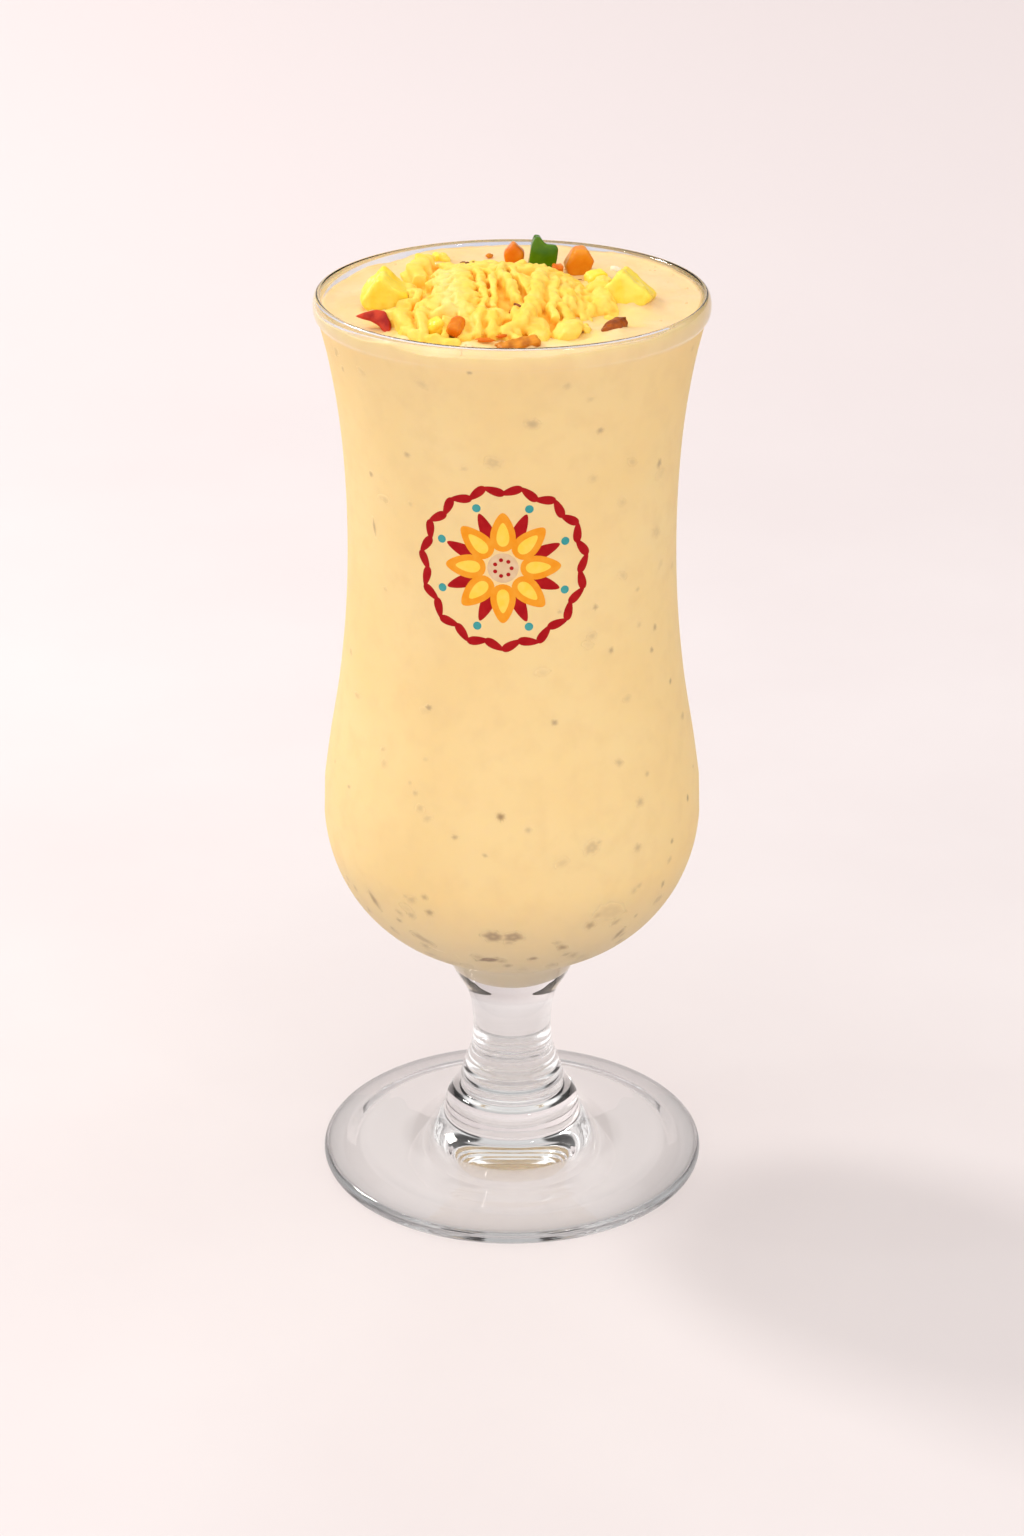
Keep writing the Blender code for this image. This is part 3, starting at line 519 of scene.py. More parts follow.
def fuse(obj, voxel, finish):
    """Give the closed bodies of an object one skin of small even faces, with its own material."""
    modifier = obj.modifiers.new("skin", "REMESH")
    modifier.mode = "VOXEL"
    modifier.voxel_size = voxel
    modifier.use_smooth_shade = True
    settle(obj)
    obj.data.materials.clear()
    obj.data.materials.append(finish)


def read(rows, key, width, kind=float):
    """What a mesh keeps under a key, with one row for each of its points or edges."""
    flat = np.empty(len(rows) * width, kind)
    rows.foreach_get(key, flat)
    return flat.reshape(-1, width)


def points_of(mesh):
    return read(mesh.vertices, "co", 3)


def normals_of(mesh):
    return read(mesh.vertex_normals, "vector", 3, np.float32)


def edges_of(mesh):
    return read(mesh.edges, "vertices", 2, np.int64)


def move_points(mesh, points):
    mesh.vertices.foreach_set("co", points.ravel())
    mesh.update()


def relaxed(points, edges, rounds):
    """The points after each has been drawn towards the middle of its neighbours."""
    total = len(points)
    count = np.bincount(edges.ravel(), minlength=total)[:, None]
    for _ in range(rounds):
        mean = np.empty_like(points)
        for axis in range(3):
            mean[:, axis] = (
                np.bincount(edges[:, 0], points[edges[:, 1], axis], total)
                + np.bincount(edges[:, 1], points[edges[:, 0], axis], total))
        points = 0.5 * points + 0.5 * mean / count
    return points


def ripples(points, scale, seed):
    """A smooth random value for each point, from about -0.7 to 0.7. The scale is in waves per metre."""
    shift = Vector([seed * step for step in NOISE_STEPS])
    return np.array([noise.noise(Vector(place) + shift) for place in (points * scale).tolist()])


def swell(obj, scale, height, seed):
    """Raise and lower a mesh's skin by soft random ripples."""
    mesh = obj.data
    points = points_of(mesh)
    points += normals_of(mesh) * (ripples(points, scale, seed) * height)[:, None]
    move_points(mesh, points)


def warp(obj, scale, reach, seed):
    """Push a mesh's points about sideways by soft random ripples."""
    mesh = obj.data
    points = points_of(mesh)
    shifts = [ripples(points, scale, 10 + 3 * seed + axis) for axis in range(3)]
    shifts[2] *= WARP_UPWARD
    move_points(mesh, points + reach * np.stack(shifts, axis=1))


def crease(obj, scale, depth, seed):
    """Cut sharp creases between rounded lumps into a mesh's skin."""
    mesh = obj.data
    points = points_of(mesh)
    most, least = CREASE_LIMITS
    away = most - np.abs(ripples(points, scale, seed))
    points -= normals_of(mesh) * (np.clip(away, least, most) * depth)[:, None]
    move_points(mesh, points)


def store(mesh, name, values):
    attribute = mesh.attributes.new(name, "FLOAT", "POINT")
    attribute.data.foreach_set("value", np.asarray(values, np.float32))


def store_hollows(obj, rounds, depth):
    """Keep for each point how deep it lies in a hollow: 0 on a crest, and 1 in a crease."""
    mesh = obj.data
    points = points_of(mesh)
    soft = relaxed(points, edges_of(mesh), rounds)
    inward = np.einsum("ij,ij->i", soft - points, normals_of(mesh))
    store(mesh, "hollow", np.clip(0.5 + inward / depth, 0.0, 1.0))


# Materials

def new_material(name, **values):
    """A material with its main shader, whose sockets get the values given by name."""
    made = bpy.data.materials.new(name)
    made.use_nodes = True
    shader = made.node_tree.nodes["Principled BSDF"]
    for key, value in values.items():
        shader.inputs[key.replace("_", " ")].default_value = value
    return made


def node(tree, kind, **inputs):
    """A shader node whose inputs are set, or linked where a socket is given."""
    made = tree.nodes.new("ShaderNode" + kind)
    for key, value in inputs.items():
        connect(tree, value, made.inputs[key.replace("_", " ")])
    return made


def connect(tree, value, socket):
    if isinstance(value, bpy.types.NodeSocket):
        tree.links.new(value, socket)
    else:
        socket.default_value = value


def rgba(colour):
    return (*colour, 1.0)


def pattern(tree, scale, detail=3.0, stretch=EVEN):
    """A soft random value from 0 to 1, fixed to the piece. The scale is in waves per metre."""
    place = node(tree, "TexCoord").outputs["Object"]
    shaped = node(tree, "Mapping", Vector=place, Scale=stretch).outputs["Vector"]
    return node(tree, "TexNoise", Vector=shaped, Scale=scale, Detail=detail).outputs["Fac"]


def kept(tree, name):
    """The value that a mesh keeps under a name."""
    made = node(tree, "Attribute")
    made.attribute_name = name
    return made.outputs["Fac"]


def spread(tree, value, low, high, ends=(0.0, 1.0), soft=False):
    """A value stretched so that low and high become the ends, with a soft start and end if asked for."""
    made = node(tree, "MapRange", Value=value, From_Min=low, From_Max=high, To_Min=ends[0], To_Max=ends[1])
    made.interpolation_type = "SMOOTHSTEP" if soft else "LINEAR"
    return made.outputs["Result"]


def patches(tree, scale, edges, detail=4.0, stretch=EVEN):
    """Soft random patches: the edges are the pattern's values where they begin and where they are full."""
    return spread(tree, pattern(tree, scale, detail, stretch), *edges)


def calculated(tree, kind, *values):
    made = node(tree, "Math")
    made.operation = kind
    for value, socket in zip(values, made.inputs):
        connect(tree, value, socket)
    return made.outputs["Value"]


def times(tree, value, factor):
    return calculated(tree, "MULTIPLY", value, factor)


def position(tree, axis):
    """The place in the piece along an axis."""
    return node(tree, "SeparateXYZ", Vector=node(tree, "TexCoord").outputs["Object"]).outputs[axis]


def mixed(tree, share, first, second):
    """A colour between two, each a colour or a socket."""
    made = tree.nodes.new("ShaderNodeMix")
    made.data_type = "RGBA"
    connect(tree, share, made.inputs["Factor"])
    connect(tree, first if isinstance(first, bpy.types.NodeSocket) else rgba(first), made.inputs[6])
    connect(tree, second if isinstance(second, bpy.types.NodeSocket) else rgba(second), made.inputs[7])
    return made.outputs[2]


def blended(tree, share, first, second):
    """A surface between two."""
    made = tree.nodes.new("ShaderNodeMixShader")
    for value, socket in zip((share, first, second), made.inputs):
        connect(tree, value, socket)
    return made.outputs["Shader"]


def give(made, name, value):
    """Link a value to one of the sockets of a material's main shader."""
    made.node_tree.links.new(value, made.node_tree.nodes["Principled BSDF"].inputs[name])


def paint(made, colour):
    give(made, "Base Color", colour)


def roughen(made, low, high, scale):
    """Gloss that varies softly over the surface."""
    tree = made.node_tree
    give(made, "Roughness", spread(tree, pattern(tree, scale), 0.0, 1.0, (low, high)))


def grain(made, scale, height, stretch=EVEN):
    """Fine relief in the surface."""
    tree = made.node_tree
    relief = pattern(tree, scale, GRAIN_DETAIL, stretch)
    bump = node(tree, "Bump", Height=relief, Strength=1.0, Distance=height)
    give(made, "Normal", bump.outputs["Normal"])


def let_light_through(made, share, surface=None):
    """Let the light that falls on what is behind a material through, without its shadow."""
    tree = made.node_tree
    surface = surface or tree.nodes["Principled BSDF"].outputs["BSDF"]
    rays = node(tree, "LightPath").outputs
    straight = calculated(tree, "MAXIMUM", rays["Is Shadow Ray"], rays["Is Diffuse Ray"])
    clear = node(tree, "BsdfTransparent", Color=rgba(share)).outputs["BSDF"]
    connect(tree, blended(tree, straight, surface, clear), tree.nodes["Material Output"].inputs["Surface"])


def glass_material():
    """Clear glass, greyed by painted shade in its stem and foot, with a painted blue-grey reflection on the
    rim's sides and back, and less mirroring where drink lies behind it.
    """
    made = new_material("clear_glass", Transmission_Weight=1.0, IOR=GLASS_IOR, Roughness=0.0)
    grain(made, scale=60.0, height=0.00003)
    tree = made.node_tree
    # painted grey shade on the stem, the foot and its edge
    tint_and_painted_shade = mixed(tree, kept(tree, "glass_shade"), GLASS_TINT, PAINTED_GLASS_SHADE)
    # painted blue-grey reflection on the rim's sides and back
    tint_and_painted_shade = mixed(tree, kept(tree, "rim"), tint_and_painted_shade, PAINTED_RIM_REFLECTION)
    paint(made, tint_and_painted_shade)
    clear = tree.nodes["Principled BSDF"].outputs["BSDF"]
    still = node(tree, "BsdfRefraction", Color=tint_and_painted_shade, Roughness=0.0, IOR=GLASS_IOR).outputs["BSDF"]
    share = times(tree, kept(tree, "filled"), STILLNESS)
    let_light_through(made, LIGHT_THROUGH_GLASS, blended(tree, share, clear, still))
    return made


def drink_material(name="drink", glow=0.25, dimmed=0.0):
    """Thick milky drink: pale clouds, yellow where ice cream melts, and specks seen in it."""
    made = new_material(name, Subsurface_Weight=glow, Subsurface_Scale=0.004,
                        Subsurface_Radius=(1.0, 0.7, 0.3), Specular_IOR_Level=0.3)
    tree = made.node_tree
    milk = mixed(tree, patches(tree, scale=38.0, edges=(0.32, 0.68)), *MILK)
    curds = times(tree, patches(tree, scale=210.0, edges=(0.46, 0.7), detail=5.0), CURD_SHARE)
    milk = mixed(tree, curds, milk, CURDS)
    milk = mixed(tree, spread(tree, position(tree, "Z"), *LOW_HEIGHTS), milk, LOW_MILK)
    skin = mixed(tree, patches(tree, scale=160.0, edges=(0.4, 0.62), detail=5.0), *SKIN)
    tone = mixed(tree, kept(tree, "surface"), milk, skin)
    tone = mixed(tree, kept(tree, "froth"), tone, PALE_FROTH)
    tone = mixed(tree, kept(tree, "melt"), tone, MELTED)
    tone = mixed(tree, dimmed, tone, BLACK)
    specks = mixed(tree, kept(tree, "grey"), *SPECKS)
    paint(made, mixed(tree, kept(tree, "speck"), tone, specks))
    roughen(made, low=0.28, high=0.42, scale=90.0)
    return made


def ice_cream_material():
    """Scraped ice cream: a band of cream, and painted shade of deeper yellow in its hollows."""
    made = new_material("mango_ice_cream", Subsurface_Weight=0.3, Subsurface_Scale=0.0014,
                        Subsurface_Radius=(1.0, 0.65, 0.2), Specular_IOR_Level=0.2)
    tree = made.node_tree
    body = mixed(tree, patches(tree, scale=260.0, edges=(0.35, 0.65)), *ICE_CREAM)
    body = mixed(tree, times(tree, kept(tree, "cream"), CREAM_SHARE), body, CREAM)
    # painted shade in the hollows
    paint(made, mixed(tree, spread(tree, kept(tree, "hollow"), *HOLLOW_SHADE_EDGES), body, PAINTED_HOLLOW_SHADE))
    roughen(made, low=0.42, high=0.58, scale=300.0)
    grain(made, scale=1500.0, height=0.00003)
    return made


def fruit_material(name, pale, deep, scale, stretch=EVEN, roughness=(0.22, 0.38), glow=0.25):
    """Wet cut fruit: two tones of its flesh in soft streaks."""
    made = new_material(name, Subsurface_Weight=glow, Subsurface_Scale=0.0016,
                        Subsurface_Radius=(1.0, 0.5, 0.15), Specular_IOR_Level=0.22)
    tree = made.node_tree
    paint(made, mixed(tree, patches(tree, scale, edges=(0.36, 0.64), stretch=stretch), pale, deep))
    roughen(made, *roughness, scale)
    grain(made, FRUIT_GRAIN * scale, height=0.00005, stretch=stretch)
    return made


def ink_material(name, colour, worn):
    """Printing ink, a little uneven."""
    made = new_material(name, Roughness=0.35, Specular_IOR_Level=0.1)
    tree = made.node_tree
    paint(made, mixed(tree, patches(tree, scale=600.0, edges=(0.35, 0.7), detail=3.0), colour, worn))
    let_light_through(made, WHITE)
    return made


def floor_material():
    made = new_material("floor", Roughness=0.55)
    tree = made.node_tree
    stone = mixed(tree, patches(tree, scale=9.0, edges=(0.3, 0.7), detail=6.0), *STONE)
    paint(made, mixed(tree, spread(tree, position(tree, "Y"), *FAR_PLACES), stone, FAR_STONE))
    return made


# Outlines

def smooth_line(points, steps):
    """A centripetal curve through the points, with the given number of steps in each span."""
    knots = [Vector(p) for p in points]
    knots = [2 * knots[0] - knots[1]] + knots + [2 * knots[-1] - knots[-2]]
    line = []
    for before, start, end, after in zip(knots, knots[1:], knots[2:], knots[3:]):
        first = (start - before).length ** 0.5
        span = (end - start).length ** 0.5
        last = (after - end).length ** 0.5
        leave = span * ((start - before) / first - (end - before) / (first + span))
        leave += end - start
        arrive = span * ((after - end) / last - (after - start) / (span + last))
        arrive += end - start
        for i in range(steps):
            t = i / steps
            point = start * (2 * t ** 3 - 3 * t ** 2 + 1) + leave * (t ** 3 - 2 * t ** 2 + t)
            point += end * (3 * t ** 2 - 2 * t ** 3) + arrive * (t ** 3 - t ** 2)
            line.append(point)
    line.append(knots[-2])
    return [tuple(p) for p in line]


def arc(centre, half_width, half_height, start_deg, end_deg, steps):
    angles = [math.radians(start_deg + (end_deg - start_deg) * i / steps) for i in range(steps + 1)]
    return [(centre[0] + half_width * math.cos(a), centre[1] + half_height * math.sin(a)) for a in angles]


def bowl_point(angle_deg, side_inset, bottom_inset):
    """A point of the lower bowl, at an angle below the horizontal through the belly."""
    angle = math.radians(angle_deg)
    low = math.sin(angle) ** BOWL_POWER
    reach = BELLY_RADIUS - BOWL_SHRINK * low
    reach -= side_inset * (1 - low) + bottom_inset * low
    return reach * math.cos(angle), BELLY_HEIGHT - reach * math.sin(angle)


def well_dip(radius, reach):
    """How far the well dips at a radius, where it ends at a given reach."""
    return WELL_DEPTH * max(0.0, 1 - (radius / reach) ** 2) ** WELL_POWER


def inside_line(clearance):
    """The inside of the glass from its bottom up to the bead, moved inwards by a clearance."""
    side = WALL + clearance
    bottom = BASE_THICKNESS + clearance
    line = [(0.0, bowl_point(90, side, bottom)[1])]
    for angles in INNER_ANGLES:
        line += [bowl_point(angle, side, bottom) for angle in np.linspace(*angles)]
    line = [(radius, height - well_dip(radius, WELL_RADIUS - clearance)) for radius, height in line]
    wall = [(radius - side, height) for radius, height in WALL_OUTLINE[:0:-1]]
    wall.append((RIM_RADIUS - 2 * BEAD_HALF_WIDTH - clearance, GLASS_HEIGHT - BEAD_HALF_HEIGHT))
    return line + smooth_line(wall, OUTLINE_STEPS)


def stem_line():
    """The stem's outside, with the fine rings pressed into its lower part."""
    line = []
    start, end = STEM_RIPPLES
    for radius, height in smooth_line(STEM_OUTLINE, OUTLINE_STEPS):
        if start < height < end:
            fade = math.sin(math.pi * (height - start) / (end - start))
            radius += STEM_RIPPLE * fade * math.sin(2 * math.pi * height / STEM_RIPPLE_LENGTH)
        line.append((radius, height))
    return line


def glass_outline():
    outline = inside_line(0.0)[:-1]
    bead = (RIM_RADIUS - BEAD_HALF_WIDTH, GLASS_HEIGHT - BEAD_HALF_HEIGHT)
    outline += arc(bead, BEAD_HALF_WIDTH, BEAD_HALF_HEIGHT, *BEAD_ARC)
    outline += outer_line()
    edge = (FOOT_RADIUS - FOOT_EDGE, FOOT_EDGE)
    outline += arc(edge, FOOT_EDGE, FOOT_EDGE, *EDGE_ARC)
    outline.append((RING_INNER, 0.0))
    outline += smooth_line(UNDERSIDE, OUTLINE_STEPS)
    return outline


def outer_line():
    """The outside of the glass from under the bead down to the foot's edge."""
    line = smooth_line(WALL_OUTLINE, OUTLINE_STEPS)
    line += [bowl_point(angle, 0.0, 0.0) for angle in np.linspace(*OUTER_ANGLES)]
    return line + stem_line()


def radius_at(line, height):
    """The radius at a height on a line that runs upwards."""
    return float(np.interp(height, line[:, 1], line[:, 0]))


def lathe(outline, segments):
    """Points and faces turned from an outline that runs up from the axis and back to it."""
    turns = [2 * math.pi * k / segments for k in range(segments)]
    points = [(0.0, 0.0, outline[0][1])]
    for radius, height in outline[1:-1]:
        points += [(radius * math.cos(a), radius * math.sin(a), height) for a in turns]
    points.append((0.0, 0.0, outline[-1][1]))
    last = len(points) - 1
    faces = []
    for k in range(segments):
        j = (k + 1) % segments
        faces.append((0, 1 + j, 1 + k))
        faces.append((last, last - segments + k, last - segments + j))
    for row in range(len(outline) - 3):
        low = 1 + row * segments
        high = low + segments
        for k in range(segments):
            j = (k + 1) % segments
            faces.append((low + k, low + j, high + j, high + k))
    return points, faces


# Glass and drink

def glass_values(x, y, z):
    """How much painted grey shade the glass takes at a point, how much painted reflection the rim shows and
    how filled it is, each from 0 to 1.
    """
    reach = max(math.hypot(x, y), 0.001)
    # edge and stem: shares of the painted grey shade
    edge = min(EDGE_GREY, (reach - EDGE_FROM) / EDGE_FADE) if z < EDGE_TOP else 0.0
    stem = 0.0
    if z < STEM_TOP:
        stem = STEM_GREY if reach < STEM_REACH else FOOT_GREY
    # the rim's painted reflection, strongest at its sides and back
    rim = min(1.0, (z - BEAD_FOOT) / RIM_FADE) * (max(y, abs(x)) / reach) ** 3
    filled = 1.0 if FILLED_FROM < z < BEAD_FOOT else 0.0
    return max(0.0, edge, stem), max(0.0, rim), filled


def make_glass():
    points, faces = lathe(glass_outline(), GLASS_SEGMENTS)
    glass = new_object("glass_clear", points, [face[::-1] for face in faces], glass_material())
    values = zip(*(glass_values(*point) for point in points))
    for name, kept_values in zip(("glass_shade", "rim", "filled"), values):
        store(glass.data, name, kept_values)
    finish_piece(glass, "clear_glass", "glass")


def heap_distance(x, y):
    """How far a place is outside the foot of the heap, in metres, and below 0 inside it."""
    apart = [(math.hypot((x - HEAP_CENTRE[0]) / HEAP_HALF_WIDTH,
                         (y - HEAP_CENTRE[1]) / HEAP_HALF_DEPTH) - 1) * HEAP_HALF_WIDTH]
    apart += [(math.hypot((x - a) / wide, (y - b) / deep) - 1) * wide for a, b, wide, deep, _ in MOUNDS]
    return min(apart)


def ripple_at(x, y, layer, scale):
    """A smooth random value at a place, from about -0.7 to 0.7. Each layer has its own."""
    return noise.noise(Vector((x, y, layer)) * scale)


def surface_rise(x, y):
    """How far the drink's surface stands above its level at a place."""
    rise = TILT[0] * x + TILT[1] * y
    for layer, (share, scale) in enumerate(SWELLS):
        rise += share * SWELL * ripple_at(x, y, layer, scale)
    rise += MENISCUS * math.exp((math.hypot(x, y) - BRIM) / MENISCUS_WIDTH)
    rise += HEAP_BANK * math.exp(-max(0.0, heap_distance(x, y)) / HEAP_BANK_WIDTH)
    climb = max(math.exp(-max(0.0, math.hypot(x - a, y - b) - c) / BANK_WIDTH) for a, b, c in BANKS)
    lumpy = 1 + LUMPY[0] * ripple_at(x, y, *LUMPY[1:])
    return rise + BANK * climb * lumpy + froth_at(x, y) * FROTH[0][3] * lumpy


def froth_at(x, y):
    """How much froth there is at a place, from 0 to about 1."""
    return max(height / FROTH[0][3] * math.exp(-(math.hypot(x - a, y - b) / radius) ** 2)
               for a, b, radius, height in FROTH)


def melt_at(x, y):
    """How yellow the drink's surface is with melted ice cream."""
    mean, share, layer, scale = MELT_UNEVEN
    near = math.exp(-max(0.0, heap_distance(x, y)) / MELT_WIDTH)
    return near * (mean + share * ripple_at(x, y, layer, scale))


def drink_outline():
    side = [point for point in inside_line(-INTO_WALL) if point[1] < LEVEL - SIDE_DROP]
    side.append((BRIM, LEVEL - BRIM_DROP))
    rings = [BRIM * (1 - i / TOP_RINGS) for i in range(TOP_RINGS)]
    return side + [(radius, LEVEL) for radius in rings] + [(0.0, LEVEL)]


def make_drink(finish):
    points, faces = lathe(drink_outline(), DRINK_SEGMENTS)
    shaped = []
    values = {"melt": [], "surface": [], "froth": []}
    for x, y, z in points:
        on_top = z >= LEVEL
        values["surface"].append(1.0 if on_top else 0.0)
        values["melt"].append(melt_at(x, y) if on_top else 0.0)
        values["froth"].append(froth_at(x, y) if on_top else 0.0)
        top = min(1.0, max(0.0, (z - (LEVEL - TOP_DEPTH)) / TOP_DEPTH))
        if top:
            z += top * surface_rise(x, y)
        shaped.append((x, y, z))
    drink = new_object("drink_poured", shaped, [face[::-1] for face in faces], finish)
    for name, kept_values in values.items():
        store(drink.data, name, kept_values)
    finish_piece(drink, "drink", "drink")


def make_bubbles(finish):
    """Small low bubbles on the surface, mostly at the right and along the wall."""
    draw = random.Random(SEED + 2)
    bodies = Bodies()
    made = 0
    while made < BUBBLES:
        out = BRIM - BUBBLE_GAP - BUBBLE_BAND * draw.random() ** 2
        turn = draw.gauss(*BUBBLE_TURN)
        x, y = out * math.cos(turn), out * math.sin(turn)
        if heap_distance(x, y) > BUBBLE_CLEAR:
            radius = draw.uniform(*BUBBLE_SIZES)
            z = LEVEL + surface_rise(x, y) - BUBBLE_SINK * radius
            bodies.ball((x, y, z), (radius, radius, radius * BUBBLE_RISE), draw, *BUBBLE_FORM)
            made += 1
    bubbles = new_object("drink_bubbles", bodies.points, bodies.faces, finish)
    store(bubbles.data, "surface", [1.0] * len(bodies.points))
    finish_piece(bubbles, "drink")


def join_layers(faces, start, rings, count):
    """The faces of a thin body: two layers of rings, a front and a back one, that meet at their edge."""
    back = (rings + 1) * count
    for k in range(count):
        j = (k + 1) % count
        for i in range(rings):
            near, far = start + i * count, start + (i + 1) * count
            faces.append((near + k, far + k, far + j, near + j))
            faces.append((back + near + j, back + far + j, back + far + k, back + near + k))
        edge = start + rings * count
        faces.append((edge + j, edge + k, back + edge + k, back + edge + j))


def seed_colour(out, size, strength):
    """How strongly a seed shows at a share of the way from its middle to its edge."""
    soft = max(0.0, 1 - out ** 2) ** SEED_FADE
    if size[0] > PALE_CENTRE_SIZE:
        soft *= 1 - PALE_CENTRE[0] * math.exp(-(out / PALE_CENTRE[1]) ** 2)
    return min(1.0, SEED_CONTRAST * strength * soft)


def add_seed(points, faces, values, skin, place, size, slant, greyness, strength, draw):
    """A seed that touches the wall from inside, in a cloud that fades into the drink at its edge."""
    angle, height = place
    rings, columns = SEED_STEPS
    start = len(points)
    reaches = [1 + draw.uniform(-SEED_UNEVEN, SEED_UNEVEN) for _ in range(columns)]
    for depth in (SEED_SWELL, -SEED_DEPTH):
        for i in range(rings + 1):
            out = i / rings
            for k in range(columns):
                turn = 2 * math.pi * k / columns
                across = size[0] * out * reaches[k] * math.cos(turn)
                rise = size[1] * out * reaches[k] * math.sin(turn)
                across, rise = across - slant * rise, rise + slant * across
                z = height + rise
                radius = radius_at(skin, z) + depth * (1 - out ** 2) + SEED_EDGE
                around = math.radians(angle) + across / radius
                points.append((radius * math.sin(around), -radius * math.cos(around), z))
                values["speck"].append(seed_colour(out, size, strength))
                values["grey"].append(greyness)
    join_layers(faces, start, rings, columns)


def random_seed(draw):
    """The place, size, slant, greyness and strength of one of the faint seeds."""
    high = draw.random() ** SEEDS_CROWD
    height = SEEDS_FROM + SEEDS_SPAN * high
    angle = draw.uniform(-180.0, 180.0)
    size = draw.uniform(*SEED_SIZES)
    wider = draw.uniform(*SEED_WIDER)
    above, soon = FAINTER_ABOVE
    faint = draw.uniform(*SEED_FAINT) * (1 - above * high ** soon) * min(1.0, LARGEST_CLEAR / size)
    least, fade = FAINTER_BELOW
    faint *= min(1.0, least + (height - SEEDS_FROM) / fade)
    slant = draw.uniform(-SEED_SLANT, SEED_SLANT)
    return (angle, height), (size * wider, size), slant, draw.uniform(*SEED_GREYNESS), faint


def make_seeds(finish):
    draw = random.Random(SEED + 1)
    skin = np.array(inside_line(-INTO_WALL))
    points = []
    faces = []
    values = {"speck": [], "grey": []}
    for angle, *measures, slant, greyness, strength in SEEDS:
        height, half_width, half_height = metres(tuple(measures))
        size = (half_width * SEED_GROWTH, half_height * SEED_GROWTH)
        add_seed(points, faces, values, skin, (angle, height), size, slant, greyness, strength, draw)
    for _ in range(MORE_SEEDS):
        add_seed(points, faces, values, skin, *random_seed(draw), draw)
    seeds = new_object("seeds_in_drink", points, faces, finish)
    for name, kept_values in values.items():
        store(seeds.data, name, kept_values)
    finish_piece(seeds, "drink")


def finish_piece(obj, slot, *nodes):
    """Fix a piece to the one body, and hide the nodes that it stands for. Its slot is not used."""
    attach(obj, "root")
    if nodes:
        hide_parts(*nodes)


# The print

OUTSIDE = np.array(outer_line()[::-1])


def on_glass(across, rise, lift):
    """A point on the outside of the bowl, by its distance across and above the badge's centre."""
    radius = radius_at(OUTSIDE, BADGE_HEIGHT + rise) + lift
    angle = math.radians(BADGE_ANGLE) + across / radius_at(OUTSIDE, BADGE_HEIGHT)
    return radius * math.sin(angle), -radius * math.cos(angle), BADGE_HEIGHT + rise


def add_field(points, faces, middle, outline, layer):
    """A thin filled field of ink, closed all round, that follows the glass."""
    count = len(outline)
    start = len(points)
    top = PRINT_LIFT + layer * PRINT_STEP
    for lift in (top, top - PRINT_THICKNESS):
        for i in range(FIELD_RINGS + 1):
            out = max(FIELD_MIDDLE, i / FIELD_RINGS)
            points += [on_glass(middle[0] + out * (x - middle[0]), middle[1] + out * (y - middle[1]), lift)
                       for x, y in outline]
    join_layers(faces, start, FIELD_RINGS, count)
    back = start + (FIELD_RINGS + 1) * count
    faces.append(tuple(range(start, start + count)))
    faces.append(tuple(range(back + count - 1, back - 1, -1)))


def petal(middle, size, turn, point=0.35, steps=28):
    """A leaf or petal round a middle, longest along its turn and pointed at its outer end."""
    outline = []
    for k in range(steps):
        angle = 2 * math.pi * k / steps
        along = size[0] * math.cos(angle)
        wide = size[1] * math.sin(angle) * (1 - point * math.cos(angle))
        outline.append((middle[0] + along * math.cos(turn) - wide * math.sin(turn),
                        middle[1] + along * math.sin(turn) + wide * math.cos(turn)))
    return outline


def petals(count, radius, size, offset=0.0, turns=(0.0,), **form):
    """Petals evenly round the badge, each as its middle and its outline."""
    fields = []
    for i in range(count):
        angle = 2 * math.pi * (i + offset) / count
        middle = (radius * math.cos(angle), radius * math.sin(angle))
        fields.append((middle, petal(middle, size, angle + turns[i % len(turns)], **form)))
    return fields


def dots(count, radius, size, steps, offset=0.0):
    return petals(count, radius, (size, size), offset, point=0.0, steps=steps)


def print_ink(name, finish, layer, fields):
    points = []
    faces = []
    for middle, outline in fields:
        add_field(points, faces, middle, outline, layer)
    ink = new_object(name, points, faces, finish)
    ink.data.shade_flat()
    finish_piece(ink, "")


def make_badge():
    inks = {name: ink_material("ink_" + name, *tones) for name, tones in INKS.items()}
    leaves = petals(WREATH_LEAVES, WREATH_RADIUS, LEAF_SIZE,
                    turns=(math.pi / 2 - LEAF_TILT, math.pi / 2 + LEAF_TILT))
    between = petals(PETALS, BETWEEN_RADIUS, BETWEEN_SIZE, offset=0.5)
    print_ink("print_red", inks["red"], 0, leaves + between)
    print_ink("print_orange", inks["orange"], 1, petals(PETALS, PETAL_RADIUS, PETAL_SIZE))
    print_ink("print_yellow", inks["yellow"], 2, petals(PETALS, HEART_RADIUS, HEART_SIZE))
    print_ink("print_teal", inks["teal"], 1, dots(PETALS, DOT_RING, DOT_RADIUS, steps=18, offset=0.5))
    print_ink("print_beige", inks["beige"], 3, dots(1, 0.0, CENTRE_RADIUS, steps=36))
    print_ink("print_red_dots", inks["red"], 4, dots(POINTS, POINT_RING, POINT_RADIUS, steps=14))


# The heap

def dome_rise(x, y, centre, half_width, half_depth, height, power):
    inside = 1 - ((x - centre[0]) / half_width) ** 2 - ((y - centre[1]) / half_depth) ** 2
    return height * max(0.0, inside) ** power


def heap_rise(x, y):
    """How far the dome and its mounds stand above the drink's level at a place."""
    apart = math.hypot(x - DIP_CENTRE[0], y - DIP_CENTRE[1]) / DIP_RADIUS
    rise = dome_rise(x, y, HEAP_CENTRE, HEAP_HALF_WIDTH, HEAP_HALF_DEPTH, HEAP_HEIGHT, HEAP_POWER)
    rise -= DIP_DEPTH * math.exp(-apart ** 2)
    return max([rise] + [dome_rise(x, y, (a, b), wide, deep, height, MOUND_POWER)
                         for a, b, wide, deep, height in MOUNDS])


